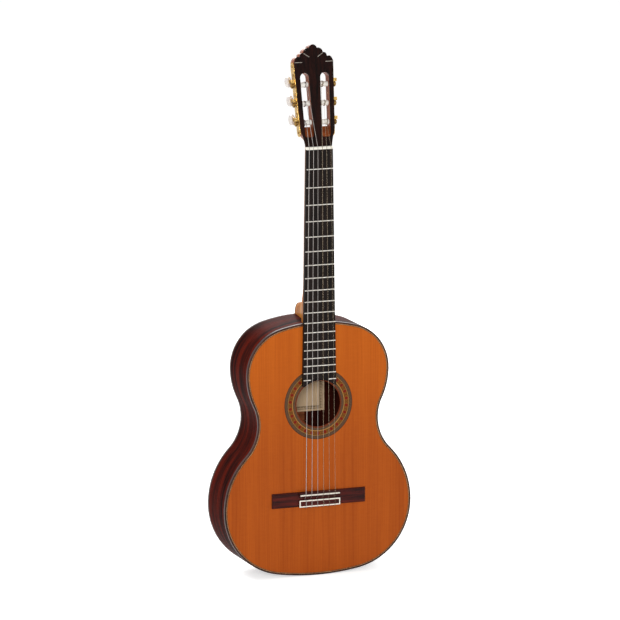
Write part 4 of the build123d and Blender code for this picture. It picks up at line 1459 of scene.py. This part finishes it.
@dataclass(frozen=True)
class Headstock(SubAssembly):
    """The slotted head, carved into the neck at its foot, with its veneer and inlaid lines.

    Attributes:
        carve: Height over which the head's foot runs into the neck.
        round_half: Half width and depth of the round back that the foot is carved to.
        thickness: Thickness of the head.
        veneer: Thickness of its veneer.
        nut_room: Height over the nut under which no edge is eased.
        foot: Height under which the back's rim is left sharp.
        crown: Height over which every edge is at the outline.
        rim: How far inside the sides a point is still at the outline.
    """

    carve: float = 26.0
    round_half: tuple[float, float] = (26.0, 15.3)
    thickness: float = 20.0
    veneer: float = 2.5
    nut_room: float = 3.0
    foot: float = 14.0
    crown: float = 157.5
    rim: float = 1.5

    def build(self) -> None:
        """Carve the head's foot, and ease the outer edges of the head and veneer."""
        bm = Bench.copy_of("head")
        Bench.ease(bm, 1.2 * MM, self._outer_back, 3)
        self._slice(bm)
        for vert in bm.verts:
            vert.co = self._carved(vert.co)
        Bench.finish(bm, "carved_head", HEAD_WOOD, slot="head", stands_for=["head"])
        Bench.eased(
            "head_veneer",
            "eased_veneer",
            VENEER_WOOD,
            0.4 * MM,
            lambda p: HEAD.read(p)[2] < 0.01 and self._at_outline(p),
        )

    def _at_outline(self, point: Vector) -> bool:
        """Test whether a point is at the head's outline and not at a slot or the nut.

        Args:
            point: A point in metres.

        Returns:
            Whether it is.
        """
        x, s, _ = HEAD.read(point)
        if s < self.nut_room:
            return False
        side = min(HEAD.half_width(s), HEAD.high[0]) - self.rim - max(0.0, HEAD.low[1] - s) * 0.4
        return s > self.crown or abs(x) > side

    def _outer_back(self, point: Vector) -> bool:
        """Whether a point is on the rim of the head's back."""
        _, s, depth = HEAD.read(point)
        return depth > self.thickness - 0.01 and s > self.foot and self._at_outline(point)

    def _slice(self, bm: bmesh.types.BMesh) -> None:
        """Cut the head's foot into small faces so that it can be carved.

        Args:
            bm: The head's mesh, which is first cut right across at the top of the carving.
        """
        cuts = [(HEAD.spot(0, s, 0), HEAD.up) for s in (self.carve, 2.0, 5.0, 9.0, 13.0, 17.0, 21.0)]
        cuts += [(HEAD.spot(x, 0, 0), Vector((1, 0, 0))) for x in range(-24, 25, 4)]
        cuts += [(HEAD.spot(0, 0, depth), HEAD.normal) for depth in (6.0, 10.0, 14.0, 17.0)]
        for number, (place, way) in enumerate(cuts):
            low = [f for f in bm.faces if all(HEAD.read(v.co)[1] < self.carve + 0.01 for v in f.verts)]
            if number == 0:
                low = list(bm.faces)
            geom = [*low, *{e for f in low for e in f.edges}, *{v for f in low for v in f.verts}]
            bmesh.ops.bisect_plane(bm, geom=geom, dist=Bench.SAME_SPOT, plane_co=place, plane_no=way)

    def _carved(self, point: Vector) -> Vector:
        """Move a point of the head's foot, so that the foot runs into the neck's round back.

        Args:
            point: Where the point was, in metres.

        Returns:
            Where it goes.
        """
        x, s, depth = HEAD.read(point)
        if s >= self.carve or depth <= self.veneer:
            return point
        half, deep = self.round_half
        reach = math.hypot(x / half, (depth - self.veneer) / deep)
        if reach <= 1.0:
            return point
        share = smooth(max(0.0, s) / self.carve)
        pulled_x, pulled_depth = x / reach, self.veneer + (depth - self.veneer) / reach
        return HEAD.spot(
            pulled_x + (x - pulled_x) * share, s, pulled_depth + (depth - pulled_depth) * share
        )

    def kept(self) -> dict[str, Finish]:
        """Finish of the inlaid lines."""
        return {"head_inlays": INLAY_LINE}


@dataclass(frozen=True)
class Bridge(SubAssembly):
    """The bridge with its saddle and the bone frame of its tie block, in millimetres.

    Attributes:
        block_half: Half the length between the bridge's wings, whose ends are eased.
        saddle_half: Half the saddle's length, just short of its ends.
        frame_rise: How far over the soundboard the frame's shown edges are.
    """

    block_half: float = 40.0
    saddle_half: float = 38.9
    frame_rise: float = 8.7

    def build(self) -> None:
        """Ease the edges of the bridge, the saddle and the bone frame."""
        Bench.eased(
            "bridge",
            "eased_bridge",
            BRIDGE_WOOD,
            0.45 * MM,
            lambda p: p.y < SOUNDBOARD_TOP - MM and abs(p.x) > self.block_half * MM,
        )
        Bench.eased(
            "saddle", "eased_saddle", BONE, 0.3 * MM, lambda p: abs(p.x) > self.saddle_half * MM
        )
        Bench.eased(
            "tie_block_trim",
            "eased_tie_frame",
            BONE,
            0.3 * MM,
            lambda p: p.y < SOUNDBOARD_TOP - self.frame_rise * MM,
        )


@dataclass(frozen=True)
class Tuners(SubAssembly):
    """The geared tuners: scalloped plates, worms, wheels, rollers with their string and buttons.

    Attributes:
        stations: Heights of the rollers on the head.
        roller_depth: Depth of the rollers' axes.
        roller_radius: Radius of a roller.
        plate_length: Length of a plate.
        plate_width: Width of a plate.
        plate_offset: Height of a plate's middle above the middle roller.
        plate_thickness: Thickness of a plate.
        edging_depth: Thickness of its edging.
        edging_width: How far the edging reaches in over the plate.
        edging_sink: How far under the plate's face the edging's shown face is.
        scallops: Lobes along each long edge.
        lobe: How far a lobe reaches out past the plate.
        plate_points: Points round a plate.
        roller_x: Where the strings meet the rollers, from the lowest roller up.
        string_radii: Radii of the six strings.
        string_gap: Gap between a roller and the string wound on it.
        turns: Turns of a string round its roller.
        turn_steps: Steps in each turn.
    """

    stations: tuple[float, float, float] = (44.4, 79.4, 114.4)
    roller_depth: float = 11.0
    roller_radius: float = 5.0
    plate_length: float = 136.0
    plate_width: float = 15.0
    plate_offset: float = 8.6
    plate_thickness: float = 1.2
    edging_depth: float = 0.9
    edging_width: float = 0.8
    edging_sink: float = 0.15
    scallops: int = 9
    lobe: float = 1.3
    plate_points: int = 220
    roller_x: tuple[float, float, float] = (20.0, 17.0, 14.5)
    string_radii: tuple[float, ...] = (0.545, 0.445, 0.37, 0.515, 0.41, 0.355)
    string_gap: float = 0.12
    turns: int = 3
    turn_steps: int = 28

    def build(self) -> None:
        """Make the plates' scalloped edging and the string wound on each roller."""
        for side, name in ((-1, "bass"), (1, "treble")):
            bm = bmesh.new()
            outer, inner = self._plate_rings(side)
            edges = Bench.band(bm, outer, inner, HEAD.outwards(side) * MM * -self.edging_depth)
            Bench.round_over(bm, edges, 0.3 * MM, 2, clamp=False)
            Bench.finish(bm, f"plate_edging_{name}", ENGRAVED, slot="tuner_plate")
        for number, name in enumerate(STRING_NAMES):
            self._wind(number, name)

    def _plate_rings(self, side: int) -> tuple[list[Vector], list[Vector]]:
        """Work out the rings of one plate's edging.

        Args:
            side: 1 on the treble side and -1 on the bass side.

        Returns:
            Points of the outer scalloped ring and of the inner plain ring, in metres.
        """
        out = HEAD.outwards(side)
        along = HEAD.normal.cross(HEAD.outwards(1))
        along = Vector((side * along.x, along.y, along.z))
        middle_s = self.stations[1]
        foot = HEAD.spot(side * HEAD.half_width(middle_s), middle_s, self.roller_depth) / MM
        centre = foot + along * self.plate_offset + out * (self.plate_thickness - self.edging_sink)
        half = self.plate_width / 2
        straight = self.plate_length / 2 - half
        outer, inner = [], []
        for step in range(self.plate_points):
            share = step / self.plate_points
            angle = 2 * math.pi * share
            lobe = self.lobe * abs(math.sin(math.pi * share * 2 * (self.scallops + 3))) ** 0.6
            run = max(-straight, min(straight, 1.45 * straight * math.sin(angle)))
            turned = math.atan2(math.sin(angle) * self.plate_length / 2 - run, half * math.cos(angle))
            if abs(run) < straight:
                turned = 0.0 if math.cos(angle) > 0 else math.pi
            for ring, radius in ((inner, half - self.edging_width), (outer, half + lobe)):
                a, b = run + radius * math.sin(turned), radius * math.cos(turned)
                ring.append((centre + along * a + HEAD.normal * b) * MM)
        return outer, inner

    def _wind(self, number: int, name: str) -> None:
        """Wind the end of one string round its roller.

        Args:
            number: The string's place from the bass side.
            name: The string's name.
        """
        bass = name in BASS_STRINGS
        side = -1 if bass else 1
        rank = min(number, len(STRING_NAMES) - 1 - number)
        station = self.stations[rank]
        radius = self.string_radii[number]
        axis = HEAD.outwards(side)
        half = HEAD.half_width(station)
        foot = HEAD.spot(side * half, station, self.roller_depth) / MM
        reach = (half - self.roller_x[rank]) / math.cos(HEAD.slope)
        start = foot - axis * (reach - radius * 2.4)
        arm = HEAD.normal * (self.roller_radius + radius + self.string_gap)
        facing = axis.cross(HEAD.normal).to_track_quat("Z", "Y").to_matrix().to_4x4()
        bm = bmesh.new()
        made = bmesh.ops.create_circle(
            bm,
            cap_ends=True,
            segments=10,
            radius=radius * MM,
            matrix=Matrix.Translation((start + arm) * MM) @ facing,
        )["verts"]
        faces = {face for vert in made for face in vert.link_faces}
        edges = {edge for vert in made for edge in vert.link_edges}
        bmesh.ops.spin(
            bm,
            geom=[*made, *faces, *edges],
            cent=start * MM,
            axis=axis,
            dvec=axis * (radius * 2.1 * MM / self.turn_steps),
            angle=2 * math.pi * self.turns,
            steps=self.turn_steps * self.turns,
            use_merge=False,
        )
        finish, slot = (WOUND, "wound_string") if bass else (NYLON, "nylon_string")
        Bench.finish(bm, f"winding_{name}", finish, f"post_{name}", slot)

    def kept(self) -> dict[str, Finish]:
        """List the finishes of the plates, screws, worms, wheels, rollers and buttons.

        Returns:
            The finish of each node by its name.
        """
        finishes = {"tuner_plate_bass": ENGRAVED, "tuner_plate_treble": ENGRAVED, "plate_screws": STEEL}
        for name in STRING_NAMES:
            finishes |= {f"worm_{name}": GOLD, f"gear_{name}": BRASS, f"roller_{name}": ROLLER}
            finishes[f"button_{name}"] = PEARL
        return finishes


@dataclass(frozen=True)
class Strings(SubAssembly):
    """The three wound and three plain strings."""

    def kept(self) -> dict[str, Finish]:
        """Finishes of the strings."""
        return {f"string_{name}": WOUND if name in BASS_STRINGS else NYLON for name in STRING_NAMES}


# ---- studio ------------------------------------------------------------------------------------


@dataclass(frozen=True)
class Lamp:
    """A soft square lamp.

    Attributes:
        name: The lamp's name.
        place: Where it hangs in metres.
        width: Its width in metres.
        power: Its power in watts.
    """

    name: str
    place: tuple[float, float, float]
    width: float
    power: float

    def hang(self, target: Vector) -> None:
        """Hang the lamp.

        Args:
            target: The point that it is turned to.
        """
        data = bpy.data.lights.new(self.name, "AREA")
        data.size = self.width
        data.energy = self.power
        lamp = bpy.data.objects.new(self.name, data)
        lamp.location = self.place
        lamp.rotation_mode = "QUATERNION"
        lamp.rotation_quaternion = (target - Vector(self.place)).to_track_quat("-Z", "Y")
        bpy.context.scene.collection.objects.link(lamp)


@dataclass(frozen=True)
class Studio:
    """The floor, the lamps, the world's light and the camera.

    Attributes:
        floor_gap: Gap between the body's end and the floor in metres.
        floor_half: Half the floor's width in metres.
        azimuth: The camera's angle round the guitar in degrees.
        elevation: The camera's angle above the horizon in degrees.
        target: The point that the camera looks at in metres.
        distance: The camera's distance from that point in metres.
        lens: Focal length in millimetres.
        sky: Strength of the world's light on the guitar.
        lamps: The lamps.
    """

    floor_gap: float = 0.5 * MM
    floor_half: float = 30.0
    azimuth: float = -20.66
    elevation: float = 10.77
    target: tuple[float, float, float] = (-0.0167, -0.015, -0.3015)
    distance: float = 9.0
    lens: float = 281.69
    sky: float = 0.45
    lamps: tuple[Lamp, ...] = (
        Lamp("key_lamp", (-1.3, -3.2, 0.5), 0.7, 50.0),
        Lamp("fill_lamp", (2.6, -2.8, 0.4), 2.2, 20.0),
        Lamp("side_lamp", (-1.9, 0.5, 2.4), 1.0, 48.0),
        Lamp("back_lamp", (0.9, 2.8, 1.0), 2.0, 50.0),
    )

    def build(self) -> None:
        """Lay the floor, hang the lamps and set up the world and camera."""
        bm = bmesh.new()
        low, _ = CAD_BOX
        bmesh.ops.create_grid(bm, x_segments=4, y_segments=4, size=self.floor_half)
        bmesh.ops.translate(bm, verts=bm.verts, vec=(0.0, 0.0, low.z - self.floor_gap))
        mesh = bpy.data.meshes.new("studio_floor")
        bm.to_mesh(mesh)
        bm.free()
        floor = bpy.data.objects.new("studio_floor", mesh)
        bpy.context.scene.collection.objects.link(floor)
        floor.data.materials.append(GROUND.material())
        for lamp in self.lamps:
            lamp.hang(Vector(self.target))
        self._light_world()
        self._place_camera()

    def _light_world(self) -> None:
        """Light the guitar plainly, and show white behind it and in its reflections."""
        world = bpy.data.worlds.new("studio_world")
        bpy.context.scene.world = world
        world.use_nodes = True
        nodes, links = world.node_tree.nodes, world.node_tree.links
        nodes.clear()
        soft, white = nodes.new("ShaderNodeBackground"), nodes.new("ShaderNodeBackground")
        soft.inputs["Strength"].default_value = self.sky
        for background in (soft, white):
            background.inputs["Color"].default_value = (1.0, 1.0, 1.0, 1.0)
        path = nodes.new("ShaderNodeLightPath")
        seen, both = nodes.new("ShaderNodeMath"), nodes.new("ShaderNodeMath")
        for node, first, second in (
            (seen, path.outputs["Is Camera Ray"], path.outputs["Is Glossy Ray"]),
            (both, seen.outputs[0], path.outputs["Is Transmission Ray"]),
        ):
            node.operation = "MAXIMUM"
            links.new(first, node.inputs[0])
            links.new(second, node.inputs[1])
        mixed, output = nodes.new("ShaderNodeMixShader"), nodes.new("ShaderNodeOutputWorld")
        for socket, source in enumerate((both, soft, white)):
            links.new(source.outputs[0], mixed.inputs[socket])
        links.new(mixed.outputs[0], output.inputs["Surface"])

    def _place_camera(self) -> None:
        """Set the camera at its angle and distance."""
        data = bpy.data.cameras.new("studio_camera")
        data.lens = self.lens
        data.sensor_width = 36.0
        data.clip_end = 100.0
        camera = bpy.data.objects.new("studio_camera", data)
        turn, rise = math.radians(self.azimuth), math.radians(self.elevation)
        level = math.cos(rise)
        back = Vector((math.sin(turn) * level, -math.cos(turn) * level, math.sin(rise)))
        camera.location = Vector(self.target) + back * self.distance
        camera.rotation_mode = "QUATERNION"
        camera.rotation_quaternion = (-back).to_track_quat("-Z", "Y")
        bpy.context.scene.collection.objects.link(camera)
        bpy.context.scene.camera = camera


def main() -> None:
    """Build and dress the guitar, then its studio."""
    logging.basicConfig(level=logging.INFO, format="%(name)s: %(message)s")
    bpy.context.scene.view_settings.view_transform = "Standard"
    for part in (Soundbox(), Neck(), Headstock(), Bridge(), Tuners(), Strings()):
        part.build()
        part.dress()
    Studio().build()


if __name__ == "__main__":
    main()
